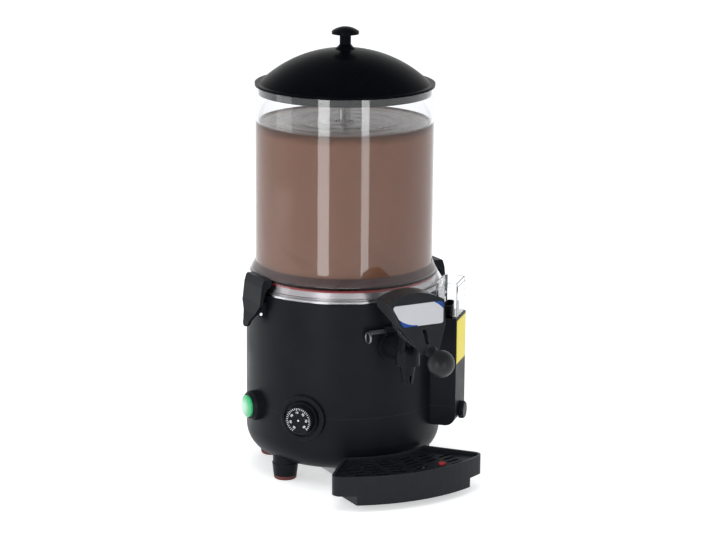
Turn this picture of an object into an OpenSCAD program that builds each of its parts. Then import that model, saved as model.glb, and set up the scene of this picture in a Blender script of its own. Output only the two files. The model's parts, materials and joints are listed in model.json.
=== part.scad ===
// Hot chocolate dispenser: a counter-top machine with a clear bowl over a water bath,
// a stirrer driven from below, a lever tap, a water filler at the side and a drip tray.
// The tap faces -Y, +Z is up, and the origin is on the body's axis at the counter top.
// Places round the body are angles from the front (-Y), growing towards +X.

/* [Body] */
// Outer radius of the body
body_r = 126.5; // [120:0.5:135]
// Wall of the moulded housings
wall = 3; // [2.5:0.5:4]
// Height of the body's upper rim above the counter
body_top = 247; // [240:1:260]
// Height of the seam between the upper housing and the lower base
seam_z = 96; // [90:1:102]
// Height of the underside of the base above the counter
base_z = 22; // [20:1:26]
// Radius of the rounded lower edge of the base
base_fillet = 35; // [28:1:36]
// Thickness of the rim flange on top of the upper housing
rim_t = 4; // [3:0.5:5]
// Height of the lip that locates the upper housing on the base
lip_h = 5; // [4:0.5:8]

/* [Feet] */
// Distance of the circle that the feet stand on from the body's outside
foot_inset = 24.9; // [22:0.1:28]
// Angles of the four feet from the front
foot_angles = [-75, 75, 140, -140];
// Radius of a foot at its top
foot_top_r = 17; // [15:0.5:18]
// Radius of a foot at the counter
foot_low_r = 14.5; // [12:0.5:15]
// Height of the soft pad under a foot
pad_h = 5; // [3:0.5:8]

/* [Bowl] */
// Distance of the clear bowl's wall from the collar's edge
bowl_inset = 12.9; // [11.6:0.1:15]
// Wall of the clear bowl
bowl_wall = 3; // [2.5:0.5:4]
// Height of the clear bowl above the body's rim
bowl_h = 258; // [233:1:283]
// How far the collar at the foot of the bowl reaches past the body
collar_over = 1; // [0.5:0.5:3]
// Height where the sloping collar meets the bowl's wall, above the body's rim
collar_h = 30; // [28:1:38]
// Height of the straight skirt at the foot of the collar
skirt_h = 6; // [5:0.5:8]
// Thickness of the seal under the bowl
gasket_t = 3; // [2:0.5:5]
// Height of the pan's step that carries the seal, above the body's rim
step_h = 12; // [9:0.5:13]

/* [Lid] */
// How far the lid's flat lip reaches past the bowl
lid_over = 1.1; // [0:0.1:3]
// Thickness of the lid's flat lip
lid_lip_t = 3; // [2:0.5:4]
// Width of the lid's flat lip outside the dome
lid_lip_w = 6.7; // [5:0.1:10]
// Rise of the dome above the lip
dome_h = 44; // [36:1:52]
// Wall of the lid
lid_wall = 2.5; // [2:0.5:3]
// Radius of the knob's cap
knob_r = 17.5; // [14:0.5:22]
// Height of the knob above the dome
knob_h = 28; // [22:1:34]

/* [Water bath and pan] */
// Gap between the water tank and the housing's wall
tank_gap = 7.5; // [6.5:0.5:9.5]
// Depth of the tank's floor below the body's rim
tank_depth = 97; // [91:1:101]
// Sheet thickness of the tank and the pan
sheet = 1; // [0.8:0.1:1.5]
// Gap between the pan and the tank
pan_gap = 8; // [7:0.5:12]
// Depth of the pan's underside below the body's rim
pan_depth = 71; // [69:1:75]
// Radius of the pan's rounded lower edge
pan_fillet = 22; // [15:1:24]
// Outer radius of the column that rises from the pan
column_r = 6; // [5.5:0.1:7]
// Distance of the column's top below the bowl's upper edge
column_drop = 17; // [15:1:45]
// Distance of the heating element's ring from the tank's wall
heater_inset = 31; // [21:1:46]
// Radius of the heating element's tube
heater_r = 4.5; // [3.5:0.5:5]

/* [Drive] */
// Radius of the drive shaft
shaft_r = 4; // [3.5:0.1:4.4]
// Outer radius of the stirrer's tube
stirrer_r = 7.6; // [7.2:0.1:10]
// Reach of a stirrer blade from the axis
blade_reach = 88; // [70:1:92]
// Height of a stirrer blade
blade_h = 20; // [12:1:28]
// Thickness of a stirrer blade
blade_t = 3; // [2:0.5:4]
// Radius of the motor's can
motor_r = 27; // [22:1:32]
// Height of the motor's can
motor_h = 46; // [36:1:50]
// Width, depth and height of the gearbox
gearbox_size = [62, 52, 24];

/* [Tap] */
// Height of the tap's barrel above the pan's underside
tap_rise = 15; // [14:0.5:17]
// Reach of the valve past the body
valve_reach = 45.5; // [43.5:0.5:51.5]
// Outer radius of the tap's barrel
barrel_r = 14.5; // [13.5:0.5:16]
// Outer radius of the pan's outlet tube
outlet_r = 10; // [8:0.5:10.5]
// Outer radius of the valve chamber
chamber_r = 15.5; // [14.5:0.5:17]
// Depth of the spout's lower end below the barrel
spout_drop = 39; // [33:1:43]
// Outer radius of the spout's lower end
spout_r = 6.8; // [6:0.2:8]
// Bore of the spout
spout_bore = 4.6; // [3.5:0.1:5]
// Radius of the tap's mounting ring
mount_r = 18.8; // [17:0.2:21]
// Radius of the pull-out pin that holds the tap
tap_pin_r = 3; // [2.5:0.1:3.4]

/* [Lever] */
// Distance of the lever's pivot in front of the valve
pivot_ahead = 11; // [9:0.5:14]
// Height of the lever's pivot above the barrel
pivot_rise = 33; // [31:0.5:36]
// Radius of the lever's pivot pin
pivot_r = 2.5; // [2:0.1:3]
// Lean of the lever's face from upright, top towards the body
lever_tilt = 31; // [26:1:36]
// Distance of the face's lower end in front of the valve
lever_ahead = 54.5; // [50:0.5:58]
// Height of the face's lower end above the barrel
lever_low_rise = 17.8; // [13:0.2:21]
// Height of the lever from the face's lower end to its arched top
lever_h = 63.7; // [58:0.1:69]
// Half of the lever's width at its shoulders
lever_half_w = 38.5; // [34:0.5:42]
// Half of the lever's width under the label
lever_waist = 31.5; // [28:0.5:34]
// Half of the lever's width at its lower end
lever_tip_w = 11.5; // [9:0.5:13]
// Wall of the lever
lever_wall = 3; // [2:0.5:4]
// Distance of the lever's rear edge behind the valve
lever_behind = 14; // [8:1:17]
// Radius of the ball on the lever
ball_r = 17; // [14:0.5:20]
// Distance of the ball's centre in front of the valve
ball_ahead = 83; // [80:1:90]
// Height of the ball's centre above the barrel
ball_rise = 7.5; // [3:0.5:11]

/* [Latches] */
// Depth of a latch's pivot below the body's rim
latch_pin_drop = 25; // [21:1:29]
// Distance of a latch's pivot from the body's side
latch_pin_out = 5; // [4.5:0.5:7.5]
// Radius of a latch's pivot pin
latch_pin_r = 2; // [1.6:0.1:2.4]
// How far both latches sit in front of the body's axis
latch_shift = 5; // [0:1:10]
// Width of a latch at its top
latch_w = 50; // [44:1:54]
// Width of a latch at its lower tip
latch_tip_w = 16; // [12:1:20]
// Height of a latch's top above the body's rim
latch_rise = 20.5; // [18:0.5:23]
// Reach of a latch's lower tip below its pivot
latch_tail = 18.5; // [16:0.5:22]

/* [Controls] */
// Depth of the dial and the switch below the seam
control_drop = 1; // [0.5:0.5:2]
// Place of the dial round the body
dial_angle = -51.6; // [-56:0.2:-46]
// Outer radius of the dial's bezel
bezel_r = 30; // [27:0.5:32]
// Radius of the dial's skirt
dial_skirt_r = 22; // [20:0.5:24]
// Radius of the dial's face
dial_face_r = 17; // [14:0.5:18]
// Place of the switch round the body
switch_angle = -90; // [-92:0.5:-88]
// Outer radius of the switch's collar
switch_r = 19.5; // [17:0.5:21]
// Radius of the green button
button_r = 14.5; // [12:0.5:15]
// Travel of the green button
button_travel = 3; // [2:0.5:4]

/* [Water filler] */
// Place of the filler box round the body
filler_angle = 46; // [42:1:50]
// Width of the filler box
filler_w = 50; // [46:1:54]
// Reach of the filler box past the body
filler_reach = 31.5; // [29.5:0.5:35.5]
// Depth of the filler box's underside below the seam
filler_drop = 26; // [24:1:32]
// Depth of the filler box's top below the body's rim
filler_top_drop = 34; // [29:1:39]
// Height of the clear cup above the filler box
cup_h = 46; // [36:1:50]
// Wall of the clear cup
cup_wall = 2; // [1.5:0.5:3]
// Radius of the drain cap
drain_r = 11.5; // [10:0.5:13]
// Depth of the drain cap below the seam
drain_drop = 10; // [8:0.5:11.5]

/* [Drip tray] */
// Height of the tray's rim above the counter
tray_rim = 46; // [44:1:50]
// Height of the tray's underside above the counter
tray_low = 9; // [8:1:10]
// Reach of the tray's front past the body
tray_reach = 82.5; // [77.5:0.5:89.5]
// Radius of the tray's curved front
tray_arc = 214; // [190:1:240]
// Half of the tray's width at its front corners
tray_half_w = 112; // [104:1:114]
// Angle of the tray's sides to the middle plane
tray_side_angle = 40; // [36:1:42]
// Wall of the tray
tray_wall = 3; // [2.5:0.5:4]
// Depth of the grille's top below the rim
grille_drop = 4; // [3:0.5:6]
// Thickness of the grille
grille_t = 3; // [2.5:0.5:4]
// Distance between the grille's slots
slot_pitch = 11; // [10:0.5:14]
// Width of a slot in the grille
slot_w = 5; // [4:0.5:6]
// Slant of the slots from straight across
slot_slant = 15; // [0:1:25]

/* [Clearances] */
// Gap between pieces of one body that fit together
fit_gap = 0.05; // [0.02:0.01:0.1]
// Radial gap between a pin or a shaft and its running bore
run_gap = 0.06; // [0.03:0.01:0.1]
// Gap between pieces that move past each other
move_gap = 0.4; // [0.3:0.05:0.6]

/* [Hidden] */
$fn = 96;

cut = 1;                                  // how far a cut runs past a face
inner_r = body_r - wall;
foot_circle = body_r - foot_inset;
collar_r = body_r + collar_over;
collar_top = body_top + collar_h;
bowl_r = collar_r - bowl_inset;
bowl_top = body_top + bowl_h;
lid_r = bowl_r + lid_over;
dome_r = lid_r - lid_lip_w;
tank_r = inner_r - tank_gap;
tank_floor = body_top - tank_depth;
tank_top = body_top + sheet;
pan_r = tank_r - pan_gap;
pan_floor = body_top - pan_depth;
pan_top = tank_top + sheet;
pan_rim = body_top + step_h;              // top of the pan's step
seat_z = pan_rim + gasket_t;              // underside of the bowl's seat
skirt_in_r = collar_r - bowl_wall;
tank_flange_r = skirt_in_r - move_gap;
collar_edge_r = bowl_r + 4;               // outside of the bowl where the collar's slope starts
collar_edge_z = collar_top - 7;
collar_slope = (collar_r - collar_edge_r) / (collar_edge_z - body_top - skirt_h);
seat_r = collar_edge_r - bowl_wall + collar_slope * (collar_edge_z - seat_z);
step_r = seat_r - 1.3;                    // outside of the pan's step and of the seal on it
column_top = bowl_top - column_drop;
heater_ring_r = tank_r - heater_inset;
tap_z = pan_floor + tap_rise;
valve_y = body_r + valve_reach;
spout_z = tap_z - spout_drop;
pivot_y = valve_y + pivot_ahead;
pivot_z = tap_z + pivot_rise;
lever_low_y = valve_y + lever_ahead;
lever_low_z = tap_z + lever_low_rise;
lever_crest = lever_low_z + lever_h;
lever_rear = valve_y - lever_behind;
ball_y = valve_y + ball_ahead;
ball_z = tap_z + ball_rise;
latch_pin_z = body_top - latch_pin_drop;
latch_pin_x = body_r + latch_pin_out;
latch_top = body_top + latch_rise;
latch_low = latch_pin_z - latch_tail;
control_z = seam_z - control_drop;
filler_face = body_r + filler_reach;
filler_low = seam_z - filler_drop;
filler_top = body_top - filler_top_drop;
drain_z = seam_z - drain_drop;
tray_front = body_r + tray_reach;
dome_base = bowl_top + lid_lip_t;
dome_sphere = (dome_r * dome_r + dome_h * dome_h) / (2 * dome_h);
dome_top = dome_base + dome_h;
dome_centre = dome_top - dome_sphere;
boss_low = base_z - 0.5;
boss_r = foot_top_r - 1;
boss_h = 14.5;
plate_r = body_r - base_fillet - 0.5;
floor_hole_r = plate_r - 7;
plate_screw_r = plate_r - 3.5;
plate_screws = 6;
column_low = tank_floor - 4;
bracket_z = tank_floor - 22;
bracket_t = 2;
shaft_low = bracket_z - gearbox_size.z + 6;
hex_r = shaft_r + 0.4;
hex_low = column_top + 2;
hex_top = hex_low + 9;
tube_top = hex_top + 3;
paddle_low = pan_floor + sheet + 3;
hub_r = stirrer_r + 5;
heater_leg_r = heater_r - 1;
mount_y = body_r + 8;                     // outer face of the tap's mounting ring
socket_y = mount_y + 14;                  // end of the pan's outlet tube
lug_z = tap_z + mount_r + tap_pin_r - 1;
lug_w = 15;
ear_t = 4;
lug_y = body_r + 6.5;
valve_seat = tap_z - 11;
chamber_bore = chamber_r - 4;
neck_r = 10;
neck_bore = 7.5;
neck_low = tap_z + 8;
neck_top = pivot_z + 1;
cap_t = 3;
rod_r = 3;
cross_pin_z = pivot_z + 7;
cross_pin_r = 2;
pivot_ear_in = 10.3;
pivot_ear_t = 3.7;
cheek_in = pivot_ear_in + pivot_ear_t + move_gap;
cheek_t = 3.6;
lever_run = tan(lever_tilt);
ball_dir = atan2(ball_z - lever_low_z, ball_y - lever_low_y);
latch_hub_w = 26.4;
latch_hub_r = 4.6;
latch_ear_t = 4;
latch_ear_r = 4.3;
well_floor = body_r + 0.5;
bezel_face = body_r + 3.5;
dial_skirt_low = well_floor + move_gap;
dial_face_y = body_r + 15;
dial_hole_r = 6;
dial_shaft_r = 3;
switch_face = body_r + 12.5;
switch_hole_r = 12;
button_seat = body_r + 3;
button_stem_r = 4;
filler_mid = (filler_face + inner_r) / 2;
cup_low_y = collar_r + 1.5;
neck_size = [filler_w - 17.8, 15.2];
neck_corner = 3.5;
hose_drop_y = filler_mid + 2;
hose_r = 7;
hose_pipe_r = 5;
stub_r = 6;
drain_pipe_y = tank_r - 16;
drain_hole_r = 7.5;
filler_corner = 14;
gland_r = 8;
cord_r = 3.6;
cord_z = 62;
hose_z = tank_floor + 16;
rail_x = 46;
rail_y = body_r - 30.5;
tray_back = body_r + 1.5;
tray_centre = tray_front - tray_arc;
tray_corner_y = tray_centre + sqrt(tray_arc * tray_arc - tray_half_w * tray_half_w);
grille_top = tray_rim - grille_drop;
float_x = 46;
float_y = tray_front - 26;

// ---- helpers -------------------------------------------------------------

// Turns a shape built towards the front to another place round the body
module around(angle) rotate([0, 0, angle]) children();

// Sets a shape's own +Z towards the front, starting at a distance from the axis
module outward(distance, height) translate([0, -distance, height]) rotate([90, 0, 0]) children();

// The body's round outside as a cutter, with sides fine enough for thin pieces that sit on it
module body_cutter() cylinder(r = body_r, h = body_top, $fn = 720);

// A plain tube standing on its end
module tube(outer, inner, height) {
    difference() {
        cylinder(r = outer, h = height);
        translate([0, 0, -cut]) cylinder(r = inner, h = height + 2 * cut);
    }
}

// A solid can with a rounded lower edge
module rounded_can(radius, height, fillet) {
    rotate_extrude()
        intersection() {
            square([radius, height]);
            union() {
                square([radius - fillet, height]);
                translate([0, fillet]) square([radius, height - fillet]);
                translate([radius - fillet, fillet]) circle(fillet);
            }
        }
}

// A size with a gap added on every side
function grown(size, gap) = [size.x + 2 * gap, size.y + 2 * gap];

// A flat rectangle with round corners
module rounded_rect(size, corner) {
    translate([-size.x / 2 + corner, -size.y / 2]) square([size.x - 2 * corner, size.y]);
    translate([-size.x / 2, -size.y / 2 + corner]) square([size.x, size.y - 2 * corner]);
    for (x = [-1, 1], y = [-1, 1])
        translate([x * (size.x / 2 - corner), y * (size.y / 2 - corner)]) circle(corner);
}

// Extrudes an outline drawn as (distance from the axis, height) to both sides of the middle plane
module side_plate(from, to) {
    rotate([90, 0, -90]) translate([0, 0, from]) linear_extrude(to - from) children();
}

// The same plate on both sides of the middle plane
module side_plates(inner, thickness) {
    side_plate(inner, inner + thickness) children();
    side_plate(-inner - thickness, -inner) children();
}

// ---- body ----------------------------------------------------------------

// The filler box's outside, from one height to another, with a round lower edge at the bottom
module filler_box(low, high, inset, corner) {
    around(filler_angle)
        rotate([90, 0, -90])
            translate([0, 0, -filler_w / 2 + inset])
                linear_extrude(filler_w - 2 * inset)
                    intersection() {
                        translate([0, low]) square([filler_face - inset, high - low]);
                        union() {
                            translate([0, filler_low + inset + corner])
                                square([filler_face - inset, filler_top]);
                            translate([0, filler_low + inset])
                                square([filler_face - inset - corner, filler_top]);
                            translate([filler_face - inset - corner, filler_low + inset + corner])
                                circle(corner);
                        }
                    }
}

// Openings that both housings share: dial, switch, hose, drain and tap
module wall_openings() {
    around(dial_angle) outward(inner_r - 12, control_z) cylinder(r = dial_hole_r, h = 40);
    around(switch_angle) outward(inner_r - 12, control_z) cylinder(r = switch_hole_r, h = 40);
    around(filler_angle) outward(inner_r - 12, hose_z) cylinder(r = hose_r + 2, h = 20);
    around(filler_angle) outward(inner_r - 12, drain_z) cylinder(r = drain_hole_r, h = 20);
    outward(inner_r - 12, tap_z) cylinder(r = outlet_r + 1.5, h = 30);
}

// The filler box as a shell that sinks half a wall into the body, open at one end
module filler_shell(low, high, open_end) {
    difference() {
        filler_box(low, high, 0, filler_corner);
        filler_box(low - (open_end < low ? cut : 0), high - (open_end < low ? wall : -cut), wall,
            filler_corner - wall);
        translate([0, 0, low - cut]) cylinder(r = body_r - wall / 2, h = high - low + 2 * cut);
    }
}

module upper_housing() {
    edge = 1.5;
    color("#1c1d20")
        difference() {
            union() {
                difference() {
                    union() {
                        translate([0, 0, seam_z]) cylinder(r = body_r, h = body_top - seam_z - edge);
                        translate([0, 0, body_top - edge])
                            cylinder(r1 = body_r, r2 = body_r - edge, h = edge);
                    }
                    translate([0, 0, seam_z - cut]) cylinder(r = inner_r, h = body_top - rim_t - seam_z + cut);
                    translate([0, 0, seam_z]) cylinder(r = tank_r + 0.5, h = body_top);
                }
                filler_shell(seam_z, filler_top, seam_z - cut);
            }
            around(filler_angle)
                translate([0, -hose_drop_y, filler_top - wall - cut])
                    linear_extrude(wall + 2 * cut)
                        rounded_rect(grown(neck_size, fit_gap), neck_corner + fit_gap);
            wall_openings();
        }
}

module lower_base() {
    color("#1c1d20")
        difference() {
            union() {
                difference() {
                    union() {
                        translate([0, 0, base_z]) rounded_can(body_r, seam_z - base_z, base_fillet);
                        for (a = foot_angles)
                            around(a) translate([0, -foot_circle, boss_low]) cylinder(r = boss_r, h = boss_h);
                    }
                    translate([0, 0, base_z + wall]) rounded_can(inner_r, seam_z, base_fillet - wall);
                }
                filler_shell(filler_low, seam_z, seam_z);
                translate([0, 0, seam_z - lip_h]) tube(inner_r + 0.5, inner_r - wall, lip_h - 0.5);
                translate([0, 0, seam_z - lip_h]) tube(inner_r - fit_gap * 4, inner_r - wall - 0.5, 2 * lip_h);
            }
            translate([0, 0, base_z - cut]) cylinder(r = floor_hole_r, h = wall + 2 * cut);
            for (i = [0 : plate_screws - 1])
                around(i * 360 / plate_screws) translate([0, -plate_screw_r, base_z - cut])
                    cylinder(r = 1.8, h = 12);
            for (a = foot_angles)
                around(a) translate([0, -foot_circle, base_z - cut]) cylinder(r = 3, h = 12);
            wall_openings();
            around(filler_angle)
                outward(filler_face - wall - cut, drain_z) cylinder(r = drain_hole_r, h = wall + 2 * cut);
            around(180) outward(inner_r - 10, cord_z) cylinder(r = gland_r, h = 30);
        }
}

module base_plate() {
    color("#9a9da0")
        difference() {
            translate([0, 0, base_z + wall]) cylinder(r = plate_r, h = 1.5);
            for (i = [0 : plate_screws - 1])
                around(i * 360 / plate_screws) translate([0, -plate_screw_r, base_z]) cylinder(r = 1.8, h = 12);
            for (x = [-4 : 4])
                translate([x * 12 - 2, -40, base_z]) cube([4, 80, 12]);
        }
}

module base_screws() {
    color("#8d9093")
        for (i = [0 : plate_screws - 1])
            around(i * 360 / plate_screws) {
                translate([0, -plate_screw_r, base_z - 1.8]) cylinder(r = 3, h = 1.8);
                translate([0, -plate_screw_r, base_z - 0.1]) cylinder(r = 1.6, h = 9);
            }
}

module feet() {
    color("#202124")
        for (a = foot_angles)
            around(a) translate([0, -foot_circle, 0])
                difference() {
                    translate([0, 0, pad_h])
                        cylinder(r1 = foot_low_r + (foot_top_r - foot_low_r) * pad_h / base_z,
                            r2 = foot_top_r, h = boss_low - pad_h);
                    translate([0, 0, pad_h + 4]) cylinder(r = 3, h = base_z);
                }
}

module foot_pads() {
    color("#5b2a28")
        for (a = foot_angles)
            around(a) translate([0, -foot_circle, 0])
                union() {
                    cylinder(r1 = foot_low_r - 1.2, r2 = foot_low_r, h = 1.2);
                    translate([0, 0, 1.2])
                        cylinder(r1 = foot_low_r, r2 = foot_low_r + (foot_top_r - foot_low_r) * pad_h / base_z,
                            h = pad_h - 1.2);
                }
}

module foot_screws() {
    color("#8d9093")
        for (a = foot_angles)
            around(a) translate([0, -foot_circle, 0]) {
                translate([0, 0, pad_h + 5]) cylinder(r = 2.8, h = base_z + 6);
                translate([0, 0, base_z + wall + 4]) cylinder(r = 5, h = 4, $fn = 6);
            }
}

// ---- water bath, pan and drive ----------------------------------------------

module water_tank() {
    color("#b9bcc0") {
        difference() {
            union() {
                translate([0, 0, tank_floor]) cylinder(r = tank_r, h = tank_top - tank_floor);
                translate([0, 0, body_top]) cylinder(r = tank_flange_r, h = sheet);
            }
            translate([0, 0, tank_floor + sheet]) cylinder(r = tank_r - sheet, h = body_top);
            translate([0, 0, tank_floor - cut]) cylinder(r = column_r + 3, h = 4);
            outward(tank_r - 10, tap_z) cylinder(r = outlet_r + 3, h = 30);
            around(filler_angle) outward(tank_r - 10, hose_z) cylinder(r = stub_r - sheet, h = 30);
            around(filler_angle) translate([0, -drain_pipe_y, tank_floor - cut]) cylinder(r = 4, h = 4);
            for (a = [172, 188])
                around(a)
                    translate([0, -heater_ring_r, tank_floor - cut]) cylinder(r = heater_leg_r + fit_gap, h = 4);
        }
        around(filler_angle) outward(tank_r - sheet / 2, hose_z) tube(stub_r, stub_r - sheet, 4.5);
    }
}

module heater_ring() {
    heater_z = tank_floor + 12;
    color("#6f7175") {
        translate([0, 0, heater_z])
            rotate_extrude() translate([heater_ring_r, 0]) circle(heater_r);
        for (a = [172, 188])
            around(a)
                translate([0, -heater_ring_r, tank_floor - 10])
                    cylinder(r = heater_leg_r, h = heater_z - tank_floor + 10);
    }
}

module safety_cutout() {
    color("#c9c3b4")
        translate([-58, 30, tank_floor - 8]) {
            cylinder(r = 9, h = 8);
            translate([-10, -3, 2]) cube([20, 6, 1.5]);
        }
}

module product_pan() {
    color("#c8cbce") {
        difference() {
            union() {
                translate([0, 0, pan_floor]) rounded_can(pan_r, pan_rim - pan_floor, pan_fillet);
                translate([0, 0, pan_rim - sheet]) cylinder(r = step_r, h = sheet);
                translate([0, 0, tank_top]) tube(step_r, step_r - sheet, pan_rim - tank_top);
                translate([0, 0, tank_top]) tube(tank_flange_r, step_r - sheet, sheet);
                outward(pan_r - 12, tap_z) cylinder(r = outlet_r, h = socket_y - pan_r + 12);
            }
            translate([0, 0, pan_floor + sheet])
                rounded_can(pan_r - sheet, pan_top, pan_fillet - sheet);
            outward(pan_r - 20, tap_z) cylinder(r = outlet_r - 1.5, h = socket_y);
            translate([0, 0, pan_floor - cut]) cylinder(r = column_r - 0.5, h = 4);
        }
        translate([0, 0, column_low]) tube(column_r, column_r - sheet, column_top - column_low);
    }
}

module column_seal() {
    color("#b4372f")
        translate([0, 0, tank_floor - 2]) {
            difference() {
                union() {
                    cylinder(r = column_r + 5, h = 2);
                    cylinder(r = column_r + 3 - fit_gap, h = sheet + 2);
                    translate([0, 0, 2 + sheet]) cylinder(r = column_r + 5, h = 2);
                }
                translate([0, 0, -cut]) cylinder(r = column_r + fit_gap, h = 8);
            }
        }
}

module outlet_grommet() {
    color("#b4372f")
        difference() {
            union() {
                outward(tank_r - sheet - 3, tap_z) cylinder(r = outlet_r + 3 - fit_gap, h = 6.5);
            }
            outward(tank_r - 10, tap_z) cylinder(r = outlet_r + fit_gap, h = 20);
        }
}

module motor_bracket() {
    color("#a4a7aa")
        difference() {
            union() {
                translate([-45, -36, bracket_z]) cube([90, 72, bracket_t]);
                for (x = [-38, 38], y = [-29, 29])
                    translate([x, y, bracket_z]) cylinder(r = 4, h = tank_floor - bracket_z);
            }
            translate([0, 0, bracket_z - cut]) cylinder(r = shaft_r + 3, h = 5);
        }
}

module gearbox() {
    color("#5d6063")
        difference() {
            translate([-gearbox_size.x / 2, -gearbox_size.y / 2, bracket_z - gearbox_size.z]) cube(gearbox_size);
            translate([0, 0, shaft_low - 0.5]) cylinder(r = shaft_r + run_gap, h = 40);
        }
}

module motor() {
    motor_low = bracket_z - gearbox_size.z - motor_h;
    color("#3f4246") {
        translate([0, 0, motor_low]) cylinder(r = motor_r, h = motor_h);
        translate([0, 0, motor_low - 4]) cylinder(r = 8, h = 4.5);
    }
}

module terminal_block() {
    color("#e6e3d8")
        difference() {
            translate([28, 52, base_z + wall + 1.5]) cube([36, 18, 16]);
            for (x = [0 : 3])
                translate([32.5 + x * 9, 61, base_z + wall + 10]) cylinder(r = 2.4, h = 12);
        }
}

module cord_gland() {
    flange_r = gland_r + 3;
    color("#141416")
        around(180)
            difference() {
                union() {
                    outward(inner_r - 6, cord_z) cylinder(r = gland_r - fit_gap, h = wall + 8);
                    difference() {
                        outward(body_r - 4, cord_z) cylinder(r1 = flange_r, r2 = gland_r + 0.5, h = 11);
                        body_cutter();
                    }
                    outward(inner_r - 7, cord_z) cylinder(r = flange_r, h = 4);
                }
                outward(inner_r - 12, cord_z) cylinder(r = cord_r, h = 40);
            }
}

module shaft_bushes() {
    color("#b08a4a")
        for (z = [column_low + 1, column_top - 12])
            translate([0, 0, z]) tube(column_r - sheet - fit_gap, shaft_r + run_gap, 10);
}

module drive_shaft() {
    color("#c4c7ca") {
        translate([0, 0, shaft_low]) cylinder(r = shaft_r, h = hex_low - shaft_low);
        translate([0, 0, hex_low]) cylinder(r = hex_r, h = hex_top - hex_low, $fn = 6);
    }
}

module stirrer_tube() {
    color("#d5d7d9")
        difference() {
            translate([0, 0, paddle_low]) cylinder(r = stirrer_r, h = tube_top - paddle_low);
            translate([0, 0, paddle_low - cut])
                cylinder(r = column_r + move_gap, h = hex_low - paddle_low + cut - 1);
            translate([0, 0, hex_low - 1.5])
                cylinder(r = hex_r + 0.35, h = hex_top - hex_low + 2, $fn = 6);
        }
}

module stirrer_paddle() {
    blade_arc = blade_reach * 0.78;
    color("#e3e4e2")
        difference() {
            union() {
                translate([0, 0, paddle_low]) cylinder(r = hub_r, h = blade_h + 4);
                for (a = [0, 180])
                    around(a)
                        translate([0, 0, paddle_low])
                            intersection() {
                                translate([blade_reach * 0.7, -blade_reach * 0.35, 0])
                                    tube(blade_arc + blade_t / 2, blade_arc - blade_t / 2, blade_h);
                                cylinder(r = blade_reach, h = blade_h);
                                translate([-blade_reach, -blade_reach, 0])
                                    cube([blade_reach * 1.35, blade_reach, blade_h]);
                            }
            }
            translate([0, 0, paddle_low - cut]) cylinder(r = stirrer_r + fit_gap, h = blade_h + 10);
        }
}

// ---- bowl, latches and lid --------------------------------------------------

module bowl_gasket() {
    color("#c5322e")
        translate([0, 0, pan_rim]) tube(step_r, pan_r + 2, gasket_t);
}

// The sloping collar's outside as a solid, grown by a gap
module collar_solid(gap) {
    rotate_extrude()
        polygon([[0, body_top - gap], [collar_r + gap, body_top - gap], [collar_r + gap, body_top + skirt_h],
            [collar_edge_r + gap, collar_edge_z], [bowl_r + gap, collar_top], [0, collar_top]]);
}

module bowl() {
    inside_r = bowl_r - bowl_wall;
    ledge_z = seat_z + bowl_wall;
    ledge_r = seat_r - collar_slope * bowl_wall;
    color("#dfe6ea", 0.35)
        rotate_extrude()
            polygon([[collar_r, body_top], [collar_r, body_top + skirt_h], [collar_edge_r, collar_edge_z],
                [bowl_r, collar_top], [bowl_r, bowl_top], [inside_r, bowl_top], [inside_r, collar_top - 2],
                [collar_edge_r - bowl_wall, collar_edge_z - 1], [ledge_r, ledge_z], [pan_r + 3, ledge_z],
                [pan_r + 3, seat_z], [seat_r, seat_z], [skirt_in_r, body_top + skirt_h],
                [skirt_in_r, body_top]]);
}

// A latch's bracket and pivot are built on the +X side and mirrored for the other
module both_sides() {
    children();
    mirror([1, 0, 0]) children();
}

// Extrudes an outline drawn as (distance from the middle plane, height) across the latch's width
module latch_plate(from, to) {
    translate([0, -latch_shift, 0])
        rotate([90, 0, 0]) translate([0, 0, from]) linear_extrude(to - from) children();
}

module latch_ear() {
    difference() {
        union() {
            translate([latch_pin_x, latch_pin_z]) circle(latch_ear_r);
            polygon([[body_r - 12, latch_pin_z - 9], [latch_pin_x, latch_pin_z - latch_ear_r],
                [latch_pin_x, latch_pin_z + latch_ear_r], [body_r + 1, latch_pin_z + 14],
                [body_r - 12, latch_pin_z + 14]]);
        }
        translate([latch_pin_x, latch_pin_z]) circle(latch_pin_r + fit_gap);
    }
}

module latch_brackets() {
    ear_from = latch_hub_w / 2 + move_gap;
    color("#191a1c")
        both_sides()
            difference() {
                union() {
                    latch_plate(ear_from, ear_from + latch_ear_t) latch_ear();
                    latch_plate(-ear_from - latch_ear_t, -ear_from) latch_ear();
                    latch_plate(-ear_from - latch_ear_t, ear_from + latch_ear_t)
                        translate([body_r - 12, latch_pin_z + 6]) square([13, 8]);
                }
                body_cutter();
            }
}

module latch_pins() {
    pin_half = latch_hub_w / 2 + move_gap + latch_ear_t + 1;
    color("#c9ccd0")
        both_sides()
            translate([latch_pin_x, -latch_shift, latch_pin_z])
                rotate([90, 0, 0])
                    translate([0, 0, -pin_half]) cylinder(r = latch_pin_r, h = 2 * pin_half);
}

// A latch's outline seen from the side, from its hook down to its finger tip
module latch_profile() {
    x = latch_pin_x;
    polygon([[bowl_r + 5, latch_top], [x - 2, latch_top], [x, latch_top - 1.5], [x + 2.5, latch_top - 10],
        [x + 5, latch_pin_z + 14], [x + 8, latch_pin_z], [x + 12.5, latch_low + 8], [x + 14.5, latch_low],
        [x + 10.5, latch_low], [x + 8, latch_low + 8], [x + 4.8, latch_pin_z - 3], [x + 4.8, latch_pin_z + 3],
        [x + 0.5, latch_pin_z + 16], [x - 2.5, body_top + 1], [x - 4, body_top + 8],
        [bowl_r + 5, body_top + 12]]);
}

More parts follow.
